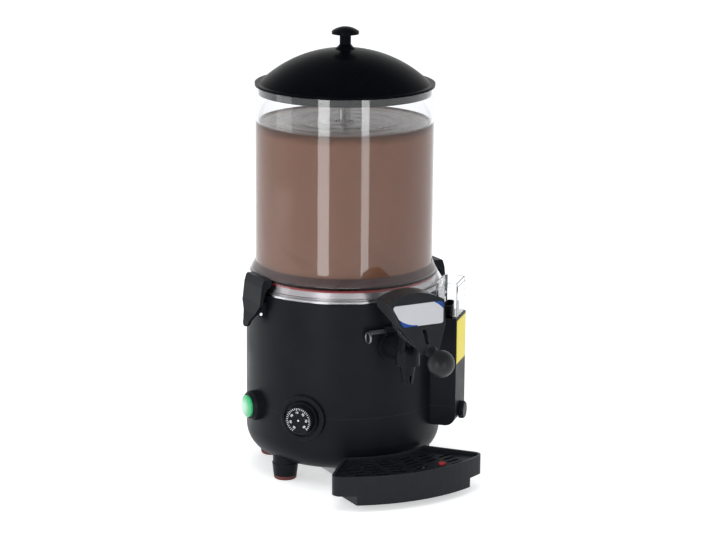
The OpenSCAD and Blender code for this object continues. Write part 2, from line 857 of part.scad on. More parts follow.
// A latch's outline seen from outside, tapering to a round tip
module latch_face() {
    translate([-latch_w / 2, latch_top - 34]) square([latch_w, 34]);
    polygon([[-latch_w / 2, latch_top - 34], [latch_w / 2, latch_top - 34],
        [latch_tip_w / 2, latch_low + latch_tip_w / 2], [-latch_tip_w / 2, latch_low + latch_tip_w / 2]]);
    translate([0, latch_low + latch_tip_w / 2]) circle(latch_tip_w / 2);
}

module latch() {
    color("#1a1b1d")
        difference() {
            union() {
                intersection() {
                    latch_plate(-latch_w / 2, latch_w / 2) latch_profile();
                    translate([0, -latch_shift, 0]) rotate([90, 0, 90]) linear_extrude(200) latch_face();
                }
                intersection() {
                    latch_plate(-latch_hub_w / 2, latch_hub_w / 2)
                        translate([latch_pin_x, latch_pin_z]) circle(latch_hub_r);
                    translate([body_r + 1, -200, 0]) cube([100, 400, 400]);
                }
                latch_plate(-latch_hub_w / 2, latch_hub_w / 2)
                    translate([latch_pin_x, latch_pin_z - 3]) square([6, 6]);
            }
            collar_solid(move_gap);
            latch_plate(-60, 60) translate([latch_pin_x, latch_pin_z]) circle(latch_pin_r + run_gap);
        }
}

module latch_right() latch();

module latch_left() mirror([1, 0, 0]) latch();

module lid() {
    color("#131417") {
        translate([0, 0, bowl_top]) tube(lid_r, dome_r - 6, lid_lip_t);
        translate([0, 0, bowl_top - 10]) tube(bowl_r - bowl_wall - move_gap * 2, bowl_r - bowl_wall - 4, 10.5);
        difference() {
            intersection() {
                translate([0, 0, dome_centre]) sphere(r = dome_sphere);
                translate([0, 0, dome_base - 0.5]) cylinder(r = dome_r, h = dome_h + 10);
            }
            translate([0, 0, dome_centre]) sphere(r = dome_sphere - lid_wall);
            translate([0, 0, dome_top - 10]) cylinder(r = 2.6, h = 20);
        }
    }
}

module lid_knob() {
    stem_r = 7.3;
    cap_low = dome_top + knob_h - 9.5;
    cap_edge = 3.5;
    crown_h = 6;
    crown_r = (knob_r * knob_r + crown_h * crown_h) / (2 * crown_h);
    color("#131417")
        difference() {
            union() {
                translate([0, 0, dome_top - 1.5]) cylinder(r1 = 15, r2 = 9.5, h = 4);
                translate([0, 0, dome_top + 2.4]) cylinder(r1 = 9.6, r2 = stem_r, h = 3);
                translate([0, 0, dome_top + 1]) cylinder(r = stem_r, h = cap_low - dome_top);
                translate([0, 0, cap_low]) cylinder(r = knob_r, h = cap_edge);
                intersection() {
                    translate([0, 0, cap_low + cap_edge + crown_h - crown_r]) sphere(r = crown_r);
                    translate([0, 0, cap_low + cap_edge - 0.1]) cylinder(r = knob_r, h = crown_h + cut);
                }
            }
            translate([0, 0, dome_centre]) sphere(r = dome_sphere);
            translate([0, 0, dome_top - 10]) cylinder(r = 2.3, h = 24);
        }
}

module lid_screw() {
    color("#c9ccd0") {
        translate([0, 0, dome_top - lid_wall - 2.6]) cylinder(r = 5, h = 2.5);
        translate([0, 0, dome_top - lid_wall - 0.2]) cylinder(r = 2.2, h = 14);
    }
}

// ---- tap --------------------------------------------------------------------

// The mounting ring on the housing with its two ears for the pull-out pin
module tap_mount() {
    ear_x = lug_w / 2 + move_gap;
    color("#1c1d20")
        difference() {
            union() {
                outward(body_r - 6, tap_z) cylinder(r = mount_r, h = mount_y - body_r + 6);
                for (x = [ear_x, -ear_x - ear_t])
                    translate([x, -mount_y, tap_z]) cube([ear_t, mount_y - body_r + 6, lug_z - tap_z]);
                side_plates(ear_x, ear_t) translate([lug_y, lug_z]) circle(tap_pin_r + 2.5);
            }
            body_cutter();
            outward(body_r - 10, tap_z) cylinder(r = barrel_r + fit_gap * 4, h = 40);
            side_plate(-60, 60) translate([lug_y, lug_z]) circle(tap_pin_r + run_gap);
            translate([-ear_x, -mount_y - cut, tap_z]) cube([2 * ear_x, 20, 60]);
        }
}

module tap_body() {
    color("#1c1d20")
        difference() {
            union() {
                outward(body_r + move_gap, tap_z) cylinder(r = barrel_r, h = valve_y - body_r - move_gap);
                translate([0, -valve_y, valve_seat - 3]) cylinder(r = chamber_r, h = tap_z - valve_seat + 3);
                translate([0, -valve_y, tap_z]) sphere(r = chamber_r);
                translate([0, -valve_y, tap_z]) cylinder(r = neck_r, h = neck_top - tap_z);
                translate([0, -valve_y, spout_z])
                    cylinder(r1 = spout_r, r2 = 10.5, h = valve_seat - 3 - spout_z + 0.1);
                translate([-lug_w / 2, -mount_y + move_gap, tap_z])
                    cube([lug_w, mount_y - body_r - 2 * move_gap, lug_z - tap_z + 1]);
                side_plate(-lug_w / 2, lug_w / 2) translate([lug_y, lug_z]) circle(tap_pin_r + 2.2);
                side_plates(pivot_ear_in, pivot_ear_t) {
                    translate([pivot_y, pivot_z]) circle(5.6);
                    polygon([[pivot_y - 5.6, pivot_z], [pivot_y + 5.6, pivot_z], [valve_y + 9, tap_z + 2],
                        [valve_y - 2, tap_z + 2]]);
                }
            }
            cylinder(r = body_r, h = body_top);
            outward(body_r - 5, tap_z) cylinder(r = outlet_r + fit_gap, h = socket_y - body_r + 5);
            outward(socket_y - 1, tap_z) cylinder(r = 6, h = valve_y - socket_y + 1);
            for (y = [socket_y - 5, socket_y - 10])
                outward(y, tap_z) cylinder(r = outlet_r + 1.5, h = 2);
            translate([0, -valve_y, valve_seat]) cylinder(r = chamber_bore, h = neck_low - valve_seat);
            translate([0, -valve_y, valve_seat]) cylinder(r = neck_bore, h = 80);
            translate([0, -valve_y, spout_z - cut]) cylinder(r = spout_bore, h = 60);
            translate([-1.6, -valve_y - 20, spout_z - cut]) cube([3.2, 20, 13]);
            side_plate(-60, 60) translate([pivot_y, pivot_z]) circle(pivot_r + fit_gap);
            side_plate(-60, 60) translate([lug_y, lug_z]) circle(tap_pin_r + run_gap);
        }
}

module tap_seals() {
    color("#c5322e")
        for (y = [socket_y - 5, socket_y - 10])
            outward(y, tap_z) tube(outlet_r + 1.5 - fit_gap, outlet_r + fit_gap, 1.9);
}

module tap_cap() {
    color("#232427")
        translate([0, -valve_y, neck_top - cap_t]) tube(neck_bore - fit_gap, rod_r + run_gap, cap_t);
}

module tap_pin() {
    pin_left = 34;
    pin_right = lug_w / 2 + ear_t + 3;
    color("#c9ccd0") {
        side_plate(-pin_right, pin_left) translate([lug_y, lug_z]) circle(tap_pin_r);
        translate([-pin_left - 1, -lug_y, lug_z - 6])
            rotate([0, 90, 0]) rotate_extrude() translate([6.5, 0]) circle(1.5);
    }
}

module tap_plunger() {
    piston_low = neck_low + 0.5;
    color("#2a2b2e")
        translate([0, -valve_y, 0]) {
            translate([0, 0, valve_seat + 0.1]) cylinder(r = chamber_bore - 3, h = 3);
            translate([0, 0, valve_seat + 1]) cylinder(r = 5, h = neck_low - valve_seat);
            translate([0, 0, piston_low]) cylinder(r = neck_bore - run_gap, h = 4);
            translate([0, 0, piston_low]) cylinder(r = rod_r, h = cross_pin_z + 4 - piston_low);
            translate([-17.5, 0, cross_pin_z]) rotate([0, 90, 0]) cylinder(r = cross_pin_r, h = 35);
        }
}

module tap_spring() {
    spring_low = neck_low + 4.5 + 0.1;
    spring_top = neck_top - cap_t - 0.1;
    color("#c9ccd0")
        translate([0, -valve_y, spring_low]) tube(neck_bore - 0.6, rod_r + 0.8, spring_top - spring_low);
}

module lever_pin() {
    half = cheek_in + cheek_t + 1.2;
    color("#c9ccd0")
        side_plate(-half, half) translate([pivot_y, pivot_z]) circle(pivot_r);
}

// The lever's outline seen from the front, with an arched top, drawn smaller by an inset
module lever_front(inset) {
    shoulder_z = lever_crest - 10.5;
    rise = lever_crest - shoulder_z;
    arch_r = (lever_half_w * lever_half_w + rise * rise) / (2 * rise);
    waist_z = lever_low_z + 26;
    half = lever_half_w - inset;
    waist = lever_waist - inset;
    tip = lever_tip_w - inset;
    intersection() {
        polygon([[-tip, lever_low_z - 4 + inset], [tip, lever_low_z - 4 + inset], [waist, waist_z],
            [half, shoulder_z], [half, lever_crest + 1], [-half, lever_crest + 1], [-half, shoulder_z],
            [-waist, waist_z]]);
        translate([0, lever_crest - arch_r]) circle(arch_r - inset, $fn = 180);
    }
}

// Distance of the lever's face from the axis at a height
function face_y(z) = lever_low_y - (z - lever_low_z) * lever_run;

// The lever's outline seen from the side, its face moved back by an inset
module lever_side(inset) {
    top = lever_crest + 5;
    low = lever_low_z - 6;
    polygon([[face_y(low) - inset, low], [face_y(top) - inset, top], [lever_rear - inset, top],
        [lever_rear - inset, lever_crest - 20], [face_y(lever_low_z + 28) - 17 - inset, lever_low_z + 28],
        [face_y(lever_low_z + 13) - 9 - inset, lever_low_z + 13], [face_y(low) - 8 - inset, low]]);
}

// The solid that the front and side outlines share
module lever_solid(inset) {
    intersection() {
        rotate([90, 0, 0]) linear_extrude(300) lever_front(inset);
        side_plate(-60, 60) lever_side(inset > 0 ? inset / cos(lever_tilt) : 0);
    }
}

module tap_lever() {
    slot_reach = 3.8;
    color("#1c1d20")
        difference() {
            union() {
                difference() {
                    lever_solid(0);
                    lever_solid(lever_wall);
                    translate([-3, -300, lever_low_z - 2]) cube([6, 300 - valve_y, 25]);
                }
                side_plates(cheek_in, cheek_t) {
                    translate([pivot_y, pivot_z]) circle(6);
                    polygon([[pivot_y, pivot_z - 6], [pivot_y, pivot_z + 6],
                        [face_y(lever_low_z + 34) - 1.8, lever_low_z + 34],
                        [face_y(lever_low_z + 4) - 1.8, lever_low_z + 4]]);
                    polygon([[pivot_y, pivot_z - 4], [pivot_y, pivot_z + 6],
                        [valve_y - slot_reach, cross_pin_z + 3.6], [valve_y - slot_reach - 1, cross_pin_z - 6]]);
                    translate([valve_y - slot_reach, cross_pin_z - 1.6]) circle(5.2);
                }
                translate([0, -lever_low_y + 5, lever_low_z + 0.6])
                    rotate([90 - ball_dir, 0, 0]) cylinder(r = 6.5, h = 9.5);
            }
            side_plate(-60, 60) {
                translate([pivot_y, pivot_z]) circle(pivot_r + run_gap);
                translate([valve_y, cross_pin_z]) circle(cross_pin_r + 0.5);
                translate([valve_y - slot_reach, cross_pin_z - 1.7]) circle(cross_pin_r + 0.5);
                translate([valve_y, cross_pin_z]) rotate(24)
                    translate([-slot_reach, -cross_pin_r - 0.5]) square([slot_reach, 2 * cross_pin_r + 1]);
            }
        }
}

module lever_label() {
    label_low = lever_low_z + 27.5;
    rise = 24 / cos(lever_tilt);
    corner = 4;
    color("#f2f3f4")
        translate([0, -face_y(label_low), label_low])
            rotate([90 - lever_tilt, 0, 0])
                linear_extrude(0.8) {
                    polygon([[-lever_waist + 2.2, corner], [-lever_waist + 2.2 + corner, 0],
                        [lever_waist - 2.2 - corner, 0], [lever_waist - 2.2, corner],
                        [lever_half_w - 3.2, rise - corner], [lever_half_w - 3.2 - corner, rise],
                        [-lever_half_w + 3.2 + corner, rise], [-lever_half_w + 3.2, rise - corner]]);
                    for (x = [-1, 1]) {
                        translate([x * (lever_waist - 2.2 - corner), corner]) circle(corner);
                        translate([x * (lever_half_w - 3.2 - corner), rise - corner]) circle(corner);
                    }
                }
}

module ball_stem() {
    reach = sqrt(pow(ball_y - lever_low_y, 2) + pow(ball_z - lever_low_z, 2));
    color("#1c1d20")
        translate([0, -lever_low_y, lever_low_z])
            rotate([90 - ball_dir, 0, 0])
                translate([0, 0, 4.6]) cylinder(r1 = 8.5, r2 = 6, h = reach - ball_r - 4);
}

module ball_knob() {
    reach = sqrt(pow(ball_y - lever_low_y, 2) + pow(ball_z - lever_low_z, 2));
    color("#17181a")
        difference() {
            translate([0, -ball_y, ball_z]) sphere(r = ball_r);
            translate([0, -lever_low_y, lever_low_z])
                rotate([90 - ball_dir, 0, 0]) cylinder(r = 8, h = reach - ball_r + 0.6);
        }
}

// ---- controls -----------------------------------------------------------------

module dial_bezel() {
    color("#1a1b1d")
        around(dial_angle)
            difference() {
                outward(inner_r, control_z)
                    union() {
                        cylinder(r = bezel_r, h = bezel_face - inner_r - 1);
                        translate([0, 0, bezel_face - inner_r - 1])
                            cylinder(r1 = bezel_r, r2 = bezel_r - 1, h = 1);
                    }
                body_cutter();
                outward(well_floor, control_z) cylinder(r = dial_skirt_r + 3, h = 20);
                outward(inner_r, control_z) cylinder(r = dial_hole_r, h = 20);
            }
}

module dial_knob() {
    flange_h = 4;
    grip_h = dial_face_y - dial_skirt_low - 1;
    flutes = 24;
    color("#141517")
        around(dial_angle)
            outward(dial_skirt_low, control_z)
                difference() {
                    union() {
                        cylinder(r1 = dial_skirt_r, r2 = dial_skirt_r - 0.8, h = flange_h);
                        cylinder(r1 = dial_face_r + 2.6, r2 = dial_face_r + 1, h = grip_h);
                        translate([0, 0, grip_h])
                            cylinder(r1 = dial_face_r + 1, r2 = dial_face_r, h = 1);
                    }
                    for (i = [0 : flutes - 1])
                        rotate(i * 360 / flutes)
                            translate([dial_face_r + 4, 0, flange_h]) cylinder(r = 2.2, h = 20);
                    translate([0, 0, -cut]) cylinder(r = dial_shaft_r + run_gap, h = 9);
                }
}

module thermostat() {
    color("#b7b9bb")
        around(dial_angle) {
            translate([-17, -inner_r + 9, control_z - 17]) cube([34, 22, 34]);
            outward(inner_r - 10, control_z) cylinder(r = dial_hole_r - fit_gap, h = wall + 10);
            outward(inner_r - 10, control_z) cylinder(r = dial_shaft_r, h = dial_skirt_low + 7 - inner_r + 10);
        }
}

module switch_collar() {
    color("#111214")
        around(switch_angle)
            difference() {
                outward(inner_r, control_z)
                    union() {
                        cylinder(r = switch_r, h = switch_face - inner_r - 4);
                        translate([0, 0, switch_face - inner_r - 4.01])
                            cylinder(r1 = switch_r, r2 = button_r + 1.6, h = 4.01);
                    }
                body_cutter();
                outward(inner_r - 10, control_z) cylinder(r = switch_hole_r, h = 40);
                outward(button_seat, control_z) cylinder(r = button_r + move_gap, h = 40);
            }
}

module switch_body() {
    back = inner_r - 26;
    color("#222326")
        around(switch_angle)
            outward(back, control_z)
                difference() {
                    union() {
                        translate([-11, -14, 0]) cube([22, 28, 22]);
                        translate([0, 0, 21]) cylinder(r = switch_hole_r - fit_gap, h = button_seat - back - 21);
                    }
                    translate([0, 0, 12]) cylinder(r = button_stem_r + run_gap, h = 30);
                }
}

module switch_button() {
    dome_rise = 5;
    dome_ball = (button_r * button_r + dome_rise * dome_rise) / (2 * dome_rise);
    button_low = button_seat + button_travel + move_gap;
    button_edge = switch_face + 2.5;
    color("#1f9d55")
        around(switch_angle)
            outward(0, control_z) {
                translate([0, 0, button_seat - 12]) cylinder(r = button_stem_r, h = 16);
                translate([0, 0, button_low]) cylinder(r = button_r, h = button_edge - button_low);
                intersection() {
                    translate([0, 0, button_edge + dome_rise - dome_ball]) sphere(r = dome_ball);
                    translate([0, 0, button_edge - 0.1]) cylinder(r = button_r, h = dome_rise + cut);
                }
            }
}

// ---- water filler --------------------------------------------------------------

module filler_cup() {
    depth = filler_face - cup_low_y - 1;
    size = [filler_w - 2, depth];
    inner = [filler_w - 2 - 2 * cup_wall, depth - 2 * cup_wall];
    color("#dfe6ea", 0.35)
        around(filler_angle)
            translate([0, -cup_low_y - depth / 2, 0])
                difference() {
                    union() {
                        translate([0, 0, filler_top]) linear_extrude(cup_h) rounded_rect(size, 4);
                        translate([0, 0, filler_top + cup_h - 12])
                            linear_extrude(7) rounded_rect([size.x + 1.6, size.y + 1.6], 4.8);
                    }
                    translate([0, 0, filler_top + cup_wall]) linear_extrude(cup_h) rounded_rect(inner, 3);
                    translate([0, cup_low_y + depth / 2 - hose_drop_y, filler_top - cut])
                        linear_extrude(8) rounded_rect(grown(neck_size, move_gap), neck_corner + move_gap);
                }
}

// The black neck inside the cup, with the pipe that leads down to the hose
module filler_neck() {
    pipe_low = hose_z + 22;
    color("#202124")
        around(filler_angle)
            translate([0, -hose_drop_y, 0])
                difference() {
                    union() {
                        translate([0, 0, filler_top - 6])
                            linear_extrude(21) rounded_rect(neck_size, neck_corner);
                        translate([0, 0, pipe_low]) cylinder(r = hose_pipe_r, h = filler_top - 5 - pipe_low);
                    }
                    translate([0, 0, filler_top - 3])
                        linear_extrude(30) rounded_rect(grown(neck_size, -2), neck_corner - 2);
                    translate([0, 0, hose_z]) cylinder(r = hose_pipe_r - 1.4, h = 80);
                }
}

module filler_label() {
    color("#f2cf3a")
        around(filler_angle)
            translate([-filler_w / 2 + 2, -filler_face - 0.4, filler_top - 60]) cube([filler_w - 4, 0.4, 57]);
}

module water_hose() {
    color("#cfd2cf")
        around(filler_angle)
            difference() {
                union() {
                    translate([0, -hose_drop_y, hose_z]) cylinder(r = hose_r, h = 24);
                    translate([0, -hose_drop_y, hose_z]) sphere(r = hose_r);
                    outward(tank_r + 2, hose_z) cylinder(r = hose_r, h = hose_drop_y - tank_r - 2);
                }
                translate([0, -hose_drop_y, hose_z]) cylinder(r = hose_pipe_r + fit_gap, h = 40);
                outward(tank_r - 2, hose_z) cylinder(r = stub_r + fit_gap, h = 7);
                outward(tank_r, hose_z) cylinder(r = hose_pipe_r - 0.1, h = hose_drop_y - tank_r);
            }
}

module drain_pipe() {
    color("#c8cbce")
        around(filler_angle)
            difference() {
                union() {
                    translate([0, -drain_pipe_y, drain_z])
                        cylinder(r = 4 - fit_gap, h = tank_floor + sheet - drain_z);
                    translate([0, -drain_pipe_y, tank_floor - 3]) cylinder(r = 7, h = 3);
                    translate([0, -drain_pipe_y, drain_z]) sphere(r = 6);
                    outward(drain_pipe_y, drain_z) cylinder(r = 6, h = filler_face - drain_pipe_y);
                    outward(filler_face - wall - 7.5, drain_z) cylinder(r = 8.5, h = 3);
                }
                translate([0, -drain_pipe_y, drain_z]) cylinder(r = 2.8, h = 100);
                outward(drain_pipe_y, drain_z) cylinder(r = 4, h = 100);
            }
}

module drain_cap() {
    color("#111214")
        around(filler_angle)
            difference() {
                union() {
                    outward(filler_face + 0.3, drain_z) cylinder(r = drain_r, h = 5);
                    outward(filler_face + 5.2, drain_z) cylinder(r1 = drain_r, r2 = drain_r - 1.5, h = 2);
                    outward(filler_face - 10, drain_z) cylinder(r = 4 - run_gap, h = 12);
                }
                for (i = [0 : 7])
                    outward(filler_face + 2.3, drain_z)
                        rotate(i * 45) translate([drain_r + 0.8, 0, 0]) cylinder(r = 2, h = 10);
            }
}

// ---- drip tray -------------------------------------------------------------------

// The tray's plan: straight sides, a curved front and a hollow that follows the body
module tray_plan(inset, corner) {
    half_at_axis = tray_half_w - tray_corner_y * tan(tray_side_angle);
    side_x = inset / cos(tray_side_angle);
    far = tray_front + 31;
    half_at_far = half_at_axis + far * tan(tray_side_angle);
    difference() {
        offset(r = corner)
            offset(delta = -corner - inset)
                intersection() {
                    translate([0, -tray_centre]) circle(tray_arc, $fn = 120);
                    polygon([[-half_at_axis, 0], [half_at_axis, 0], [half_at_far, -far], [-half_at_far, -far]]);
                }
        circle(tray_back + inset);
        translate([-200, -70]) square([400, 200]);
    }
}

module drip_tray() {
    apron_top = tray_rim - 25;
    apron_half = tray_half_w - 30;
    pocket_half = apron_half - tray_wall - 3;
    color("#1c1d20")
        difference() {
            union() {
                translate([0, 0, apron_top]) linear_extrude(tray_rim - apron_top) tray_plan(0, 11);
                translate([0, 0, tray_low])
                    linear_extrude(apron_top - tray_low + 0.1)
                        intersection() {
                            tray_plan(0, 11);
                            translate([0, -tray_centre]) circle(tray_arc, $fn = 120);
                            translate([-apron_half, -tray_front]) square([2 * apron_half, tray_front]);
                        }
                translate([-rail_x + 2.4, -tray_back - 3, tray_low + 1])
                    cube([2 * rail_x - 4.8, tray_back - 20, 3]);
            }
            translate([0, 0, grille_top - grille_t]) linear_extrude(40) tray_plan(tray_wall, 9);
            translate([0, 0, apron_top + tray_wall]) linear_extrude(40) tray_plan(tray_wall + 3, 7);
            translate([0, 0, tray_low + tray_wall])
                linear_extrude(40)
                    intersection() {
                        tray_plan(tray_wall + 3, 7);
                        translate([-pocket_half, -tray_front]) square([2 * pocket_half, tray_front]);
                    }
        }
}

// One slot of the grille, lying along X
module grille_slot(length) {
    translate([-length / 2, -slot_w / 2]) square([length, slot_w]);
    for (x = [-1, 1])
        translate([x * length / 2, 0]) circle(slot_w / 2, $fn = 24);
}

module drip_grille() {
    rows = floor((tray_front - tray_back - 2 * tray_wall - 12) / slot_pitch);
    slot_length = 15;
    column_step = 25;
    color("#17181a")
        translate([0, 0, grille_top - grille_t])
            linear_extrude(grille_t)
                difference() {
                    tray_plan(tray_wall + move_gap, 8);
                    for (row = [0 : rows - 1], side = [-1, 1], k = [0 : 3]) {
                        x = side * (16 + k * column_step);
                        y = tray_back + tray_wall + 9 + row * slot_pitch + k * 1.5;
                        half = tray_half_w - (tray_corner_y - y) * tan(tray_side_angle);
                        reach = min(half, tray_half_w - (y - tray_corner_y) * 1.6) - 13;
                        near_float = abs(x - float_x) < 17 && abs(y - float_y) < 10.5;
                        if (abs(x) + slot_length - 4 < reach && !near_float)
                            translate([x, -y]) rotate(side * slot_slant) grille_slot(slot_length);
                    }
                    translate([float_x, -float_y]) circle(5);
                }
}

module level_float() {
    float_low = tray_low + tray_wall + move_gap;
    color("#c5322e")
        translate([float_x, -float_y, 0]) {
            translate([0, 0, float_low]) cylinder(r = 11, h = 8);
            translate([0, 0, float_low + 3.6]) cylinder(r = 3, h = grille_top - float_low - 3.1);
            translate([0, 0, grille_top - 1]) cylinder(r = 4.4, h = 3);
        }
}

// The two rails under the base that carry the tray's tongue
module tray_rails() {
    rail_low = tray_low - 1.4;
    color("#a4a7aa")
        both_sides() {
            translate([rail_x, -rail_y, rail_low]) cube([2, rail_y + 6, base_z - rail_low]);
            translate([rail_x - 6, -rail_y, rail_low]) cube([7, rail_y + 6, 2]);
            translate([rail_x, -rail_y + 14, base_z - 2]) cube([8, rail_y - 20, 2]);
        }
}

upper_housing();
lower_base();
base_plate();
base_screws();
feet();
foot_pads();
foot_screws();
water_tank();
heater_ring();
safety_cutout();
product_pan();
column_seal();
outlet_grommet();
motor_bracket();
gearbox();
motor();
terminal_block();
cord_gland();
shaft_bushes();
drive_shaft();
stirrer_tube();
stirrer_paddle();
bowl_gasket();
bowl();
latch_brackets();
latch_pins();
latch_left();
latch_right();
lid();
lid_knob();
lid_screw();
tap_mount();
tap_body();
tap_seals();
tap_cap();
tap_pin();
tap_plunger();
tap_spring();
lever_pin();
tap_lever();
lever_label();
ball_stem();
ball_knob();
dial_bezel();
dial_knob();
thermostat();
switch_collar();
switch_body();
switch_button();
filler_cup();
filler_neck();
filler_label();
water_hose();
drain_pipe();
drain_cap();
tray_rails();
drip_tray();
drip_grille();
level_float();
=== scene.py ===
# %% [markdown]
# A counter-top hot chocolate machine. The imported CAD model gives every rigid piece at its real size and
# place, so this script only adds what CAD does not hold: the camera, the light, the finish of each surface,
# the drink and its froth, the print on the dial and on the lever's plate, a few drops, and the floor.
# Everything is in metres, +Z is up, the tap faces -Y, and the origin is on the body's axis at the counter top.

import bmesh
import bpy
import json
import math
from mathutils import Matrix, Vector
from mathutils.bvhtree import BVHTree


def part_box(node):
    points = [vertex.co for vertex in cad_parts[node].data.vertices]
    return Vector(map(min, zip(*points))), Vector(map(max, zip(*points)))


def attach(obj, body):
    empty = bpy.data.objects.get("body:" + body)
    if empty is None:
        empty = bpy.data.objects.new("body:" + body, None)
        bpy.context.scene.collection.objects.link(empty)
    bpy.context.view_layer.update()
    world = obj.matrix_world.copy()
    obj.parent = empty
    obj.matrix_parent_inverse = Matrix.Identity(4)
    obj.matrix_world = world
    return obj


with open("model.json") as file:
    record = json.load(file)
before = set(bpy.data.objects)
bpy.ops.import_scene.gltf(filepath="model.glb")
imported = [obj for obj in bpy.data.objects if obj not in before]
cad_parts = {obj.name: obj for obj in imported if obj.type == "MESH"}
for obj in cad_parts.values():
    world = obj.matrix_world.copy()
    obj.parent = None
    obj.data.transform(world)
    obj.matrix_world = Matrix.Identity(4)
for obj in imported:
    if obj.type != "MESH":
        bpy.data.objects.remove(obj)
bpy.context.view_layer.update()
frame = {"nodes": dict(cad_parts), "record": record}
scene = bpy.context.scene
scene.view_settings.view_transform = "Standard"

# %% [markdown]
# Sizes that pieces share come from the CAD nodes' boxes, so a piece still fits when the part's source
# changes. A box gives the lowest and highest corner of a node at rest. Angles go round from the tap.

# %% Shared sizes and places
MM = 0.001


def low(node):
    return Vector(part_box(node)[0])


def high(node):
    return Vector(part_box(node)[1])


def outward(angle):
    """The level direction from the body's axis towards an angle."""
    return Vector((math.sin(angle), -math.cos(angle), 0))


def reach(node, angle):
    """How far a node reaches from the body's axis towards an angle."""
    way = outward(angle)
    return max(v.co.dot(way) for v in frame["nodes"][node].data.vertices)


def facing(angle, distance, height):
    """A frame whose +Z points away from the body's axis and whose +Y is up, at a place round the body."""
    out = outward(angle)
    side = Vector((math.cos(angle), math.sin(angle), 0))
    place = Matrix((side, Vector((0, 0, 1)), out)).transposed().to_4x4()
    place.translation = out * distance + Vector((0, 0, height))
    return place


def put(name, data):
    """Puts a new object into the scene."""
    made = bpy.data.objects.new(name, data)
    scene.collection.objects.link(made)
    return made


DIAL_ANGLE = math.radians(-51.6)
DIAL_Z = (low("dial_knob").z + high("dial_knob").z) / 2
print("dial height", round(DIAL_Z, 4))

# %% [markdown]
# The camera stands where the photographer's did. Its place, tilt and lens were found by fitting circles of
# known height on the machine to their ellipses in the photograph. A long lens from over three metres away
# gives the photograph's nearly parallel uprights.

# %% Camera
CAMERA_ROUND = math.radians(-28)
CAMERA_DISTANCE = 3.385
CAMERA_HEIGHT = 1.091
CAMERA_DOWN = math.radians(13.78)
CAMERA_ASIDE = math.radians(0.312)
CAMERA_ROLL = math.radians(0.451)
SENSOR_WIDTH = 36
PHOTO_WIDTH = 716
FOCAL_PIXELS = 2679

camera_data = bpy.data.cameras.new("camera")
camera_data.sensor_width = SENSOR_WIDTH
camera_data.lens = FOCAL_PIXELS / PHOTO_WIDTH * SENSOR_WIDTH
camera_data.clip_end = 50
camera = put("camera", camera_data)
camera_x, camera_y = math.sin(CAMERA_ROUND) * CAMERA_DISTANCE, -math.cos(CAMERA_ROUND) * CAMERA_DISTANCE
stand = Matrix.Translation((camera_x, camera_y, CAMERA_HEIGHT))
aside = Matrix.Rotation(CAMERA_ROUND - CAMERA_ASIDE, 4, "Z")
tilt = Matrix.Rotation(math.pi / 2 - CAMERA_DOWN, 4, "X")
camera.matrix_world = stand @ aside @ tilt @ Matrix.Rotation(CAMERA_ROLL, 4, "Z")
scene.camera = camera
print("lens", round(camera_data.lens, 1), "mm")

# %% [markdown]
# Small helpers make the nodes of every tree below. A source for an input is a number, a colour or another
# node's output, and each helper gives back the output that the next node needs.

# %% Helpers for nodes


def node_tree(owner):
    owner.use_nodes = True
    owner.node_tree.nodes.clear()
    return owner.node_tree


def wire(tree, node, sources):
    for socket, source in sources.items():
        if isinstance(source, bpy.types.NodeSocket):
            tree.links.new(source, node.inputs[socket])
        else:
            node.inputs[socket].default_value = source


def add(tree, kind, sources=None):
    node = tree.nodes.new(kind)
    wire(tree, node, sources or {})
    return node


def maths(tree, operation, first, second=None):
    node = add(tree, "ShaderNodeMath", {0: first} if second is None else {0: first, 1: second})
    node.operation = operation
    return node.outputs[0]


def vector_maths(tree, operation, first, second):
    node = add(tree, "ShaderNodeVectorMath", {0: first, 1: second})
    node.operation = operation
    return node.outputs["Value" if operation == "DOT_PRODUCT" else "Vector"]


def map_range(tree, value, to_min, to_max, from_min=0.0, from_max=1.0):
    sources = {"Value": value, "From Min": from_min, "From Max": from_max, "To Min": to_min, "To Max": to_max}
    return add(tree, "ShaderNodeMapRange", sources).outputs["Result"]


def mixed(tree, share, first, second):
    """Mixes two colours; a colour is three numbers or another node's output."""
    node = tree.nodes.new("ShaderNodeMix")
    node.data_type = "RGBA"
    pair = [c if isinstance(c, bpy.types.NodeSocket) else (*c, 1) for c in (first, second)]
    wire(tree, node, {"Factor": share, "A": pair[0], "B": pair[1]})
    return node.outputs["Result"]


def on_object(tree):
    return add(tree, "ShaderNodeTexCoord").outputs["Object"]


def axes_of(tree, vector):
    return add(tree, "ShaderNodeSeparateXYZ", {0: vector}).outputs


def joined(tree, x, y, z):
    return add(tree, "ShaderNodeCombineXYZ", {"X": x, "Y": y, "Z": z}).outputs[0]


def noise(tree, vector, scale, detail, rough=0.5, distortion=0.0):
    sources = {"Vector": vector, "Scale": scale, "Detail": detail, "Roughness": rough, "Distortion": distortion}
    return add(tree, "ShaderNodeTexNoise", sources).outputs["Fac"]


# %% [markdown]
# A catalogue photograph like this one is lit by soft boxes. The world is white for the camera, for mirror
# rays and through glass, and lights surfaces at a plain level. High overhead it fades, like the dim ceiling of
# a studio, which keeps the black lid black. It is dim on the camera's side too, so the bowl's face mirrors
# little and the drink behind it keeps its colour.

# %% World


def seen_directly(tree):
    """1 for rays that look at a thing itself, in a mirror or through glass, and 0 for light on surfaces."""
    path = add(tree, "ShaderNodeLightPath").outputs
    first = maths(tree, "MAXIMUM", path["Is Camera Ray"], path["Is Transmission Ray"])
    return maths(tree, "MAXIMUM", first, path["Is Glossy Ray"])


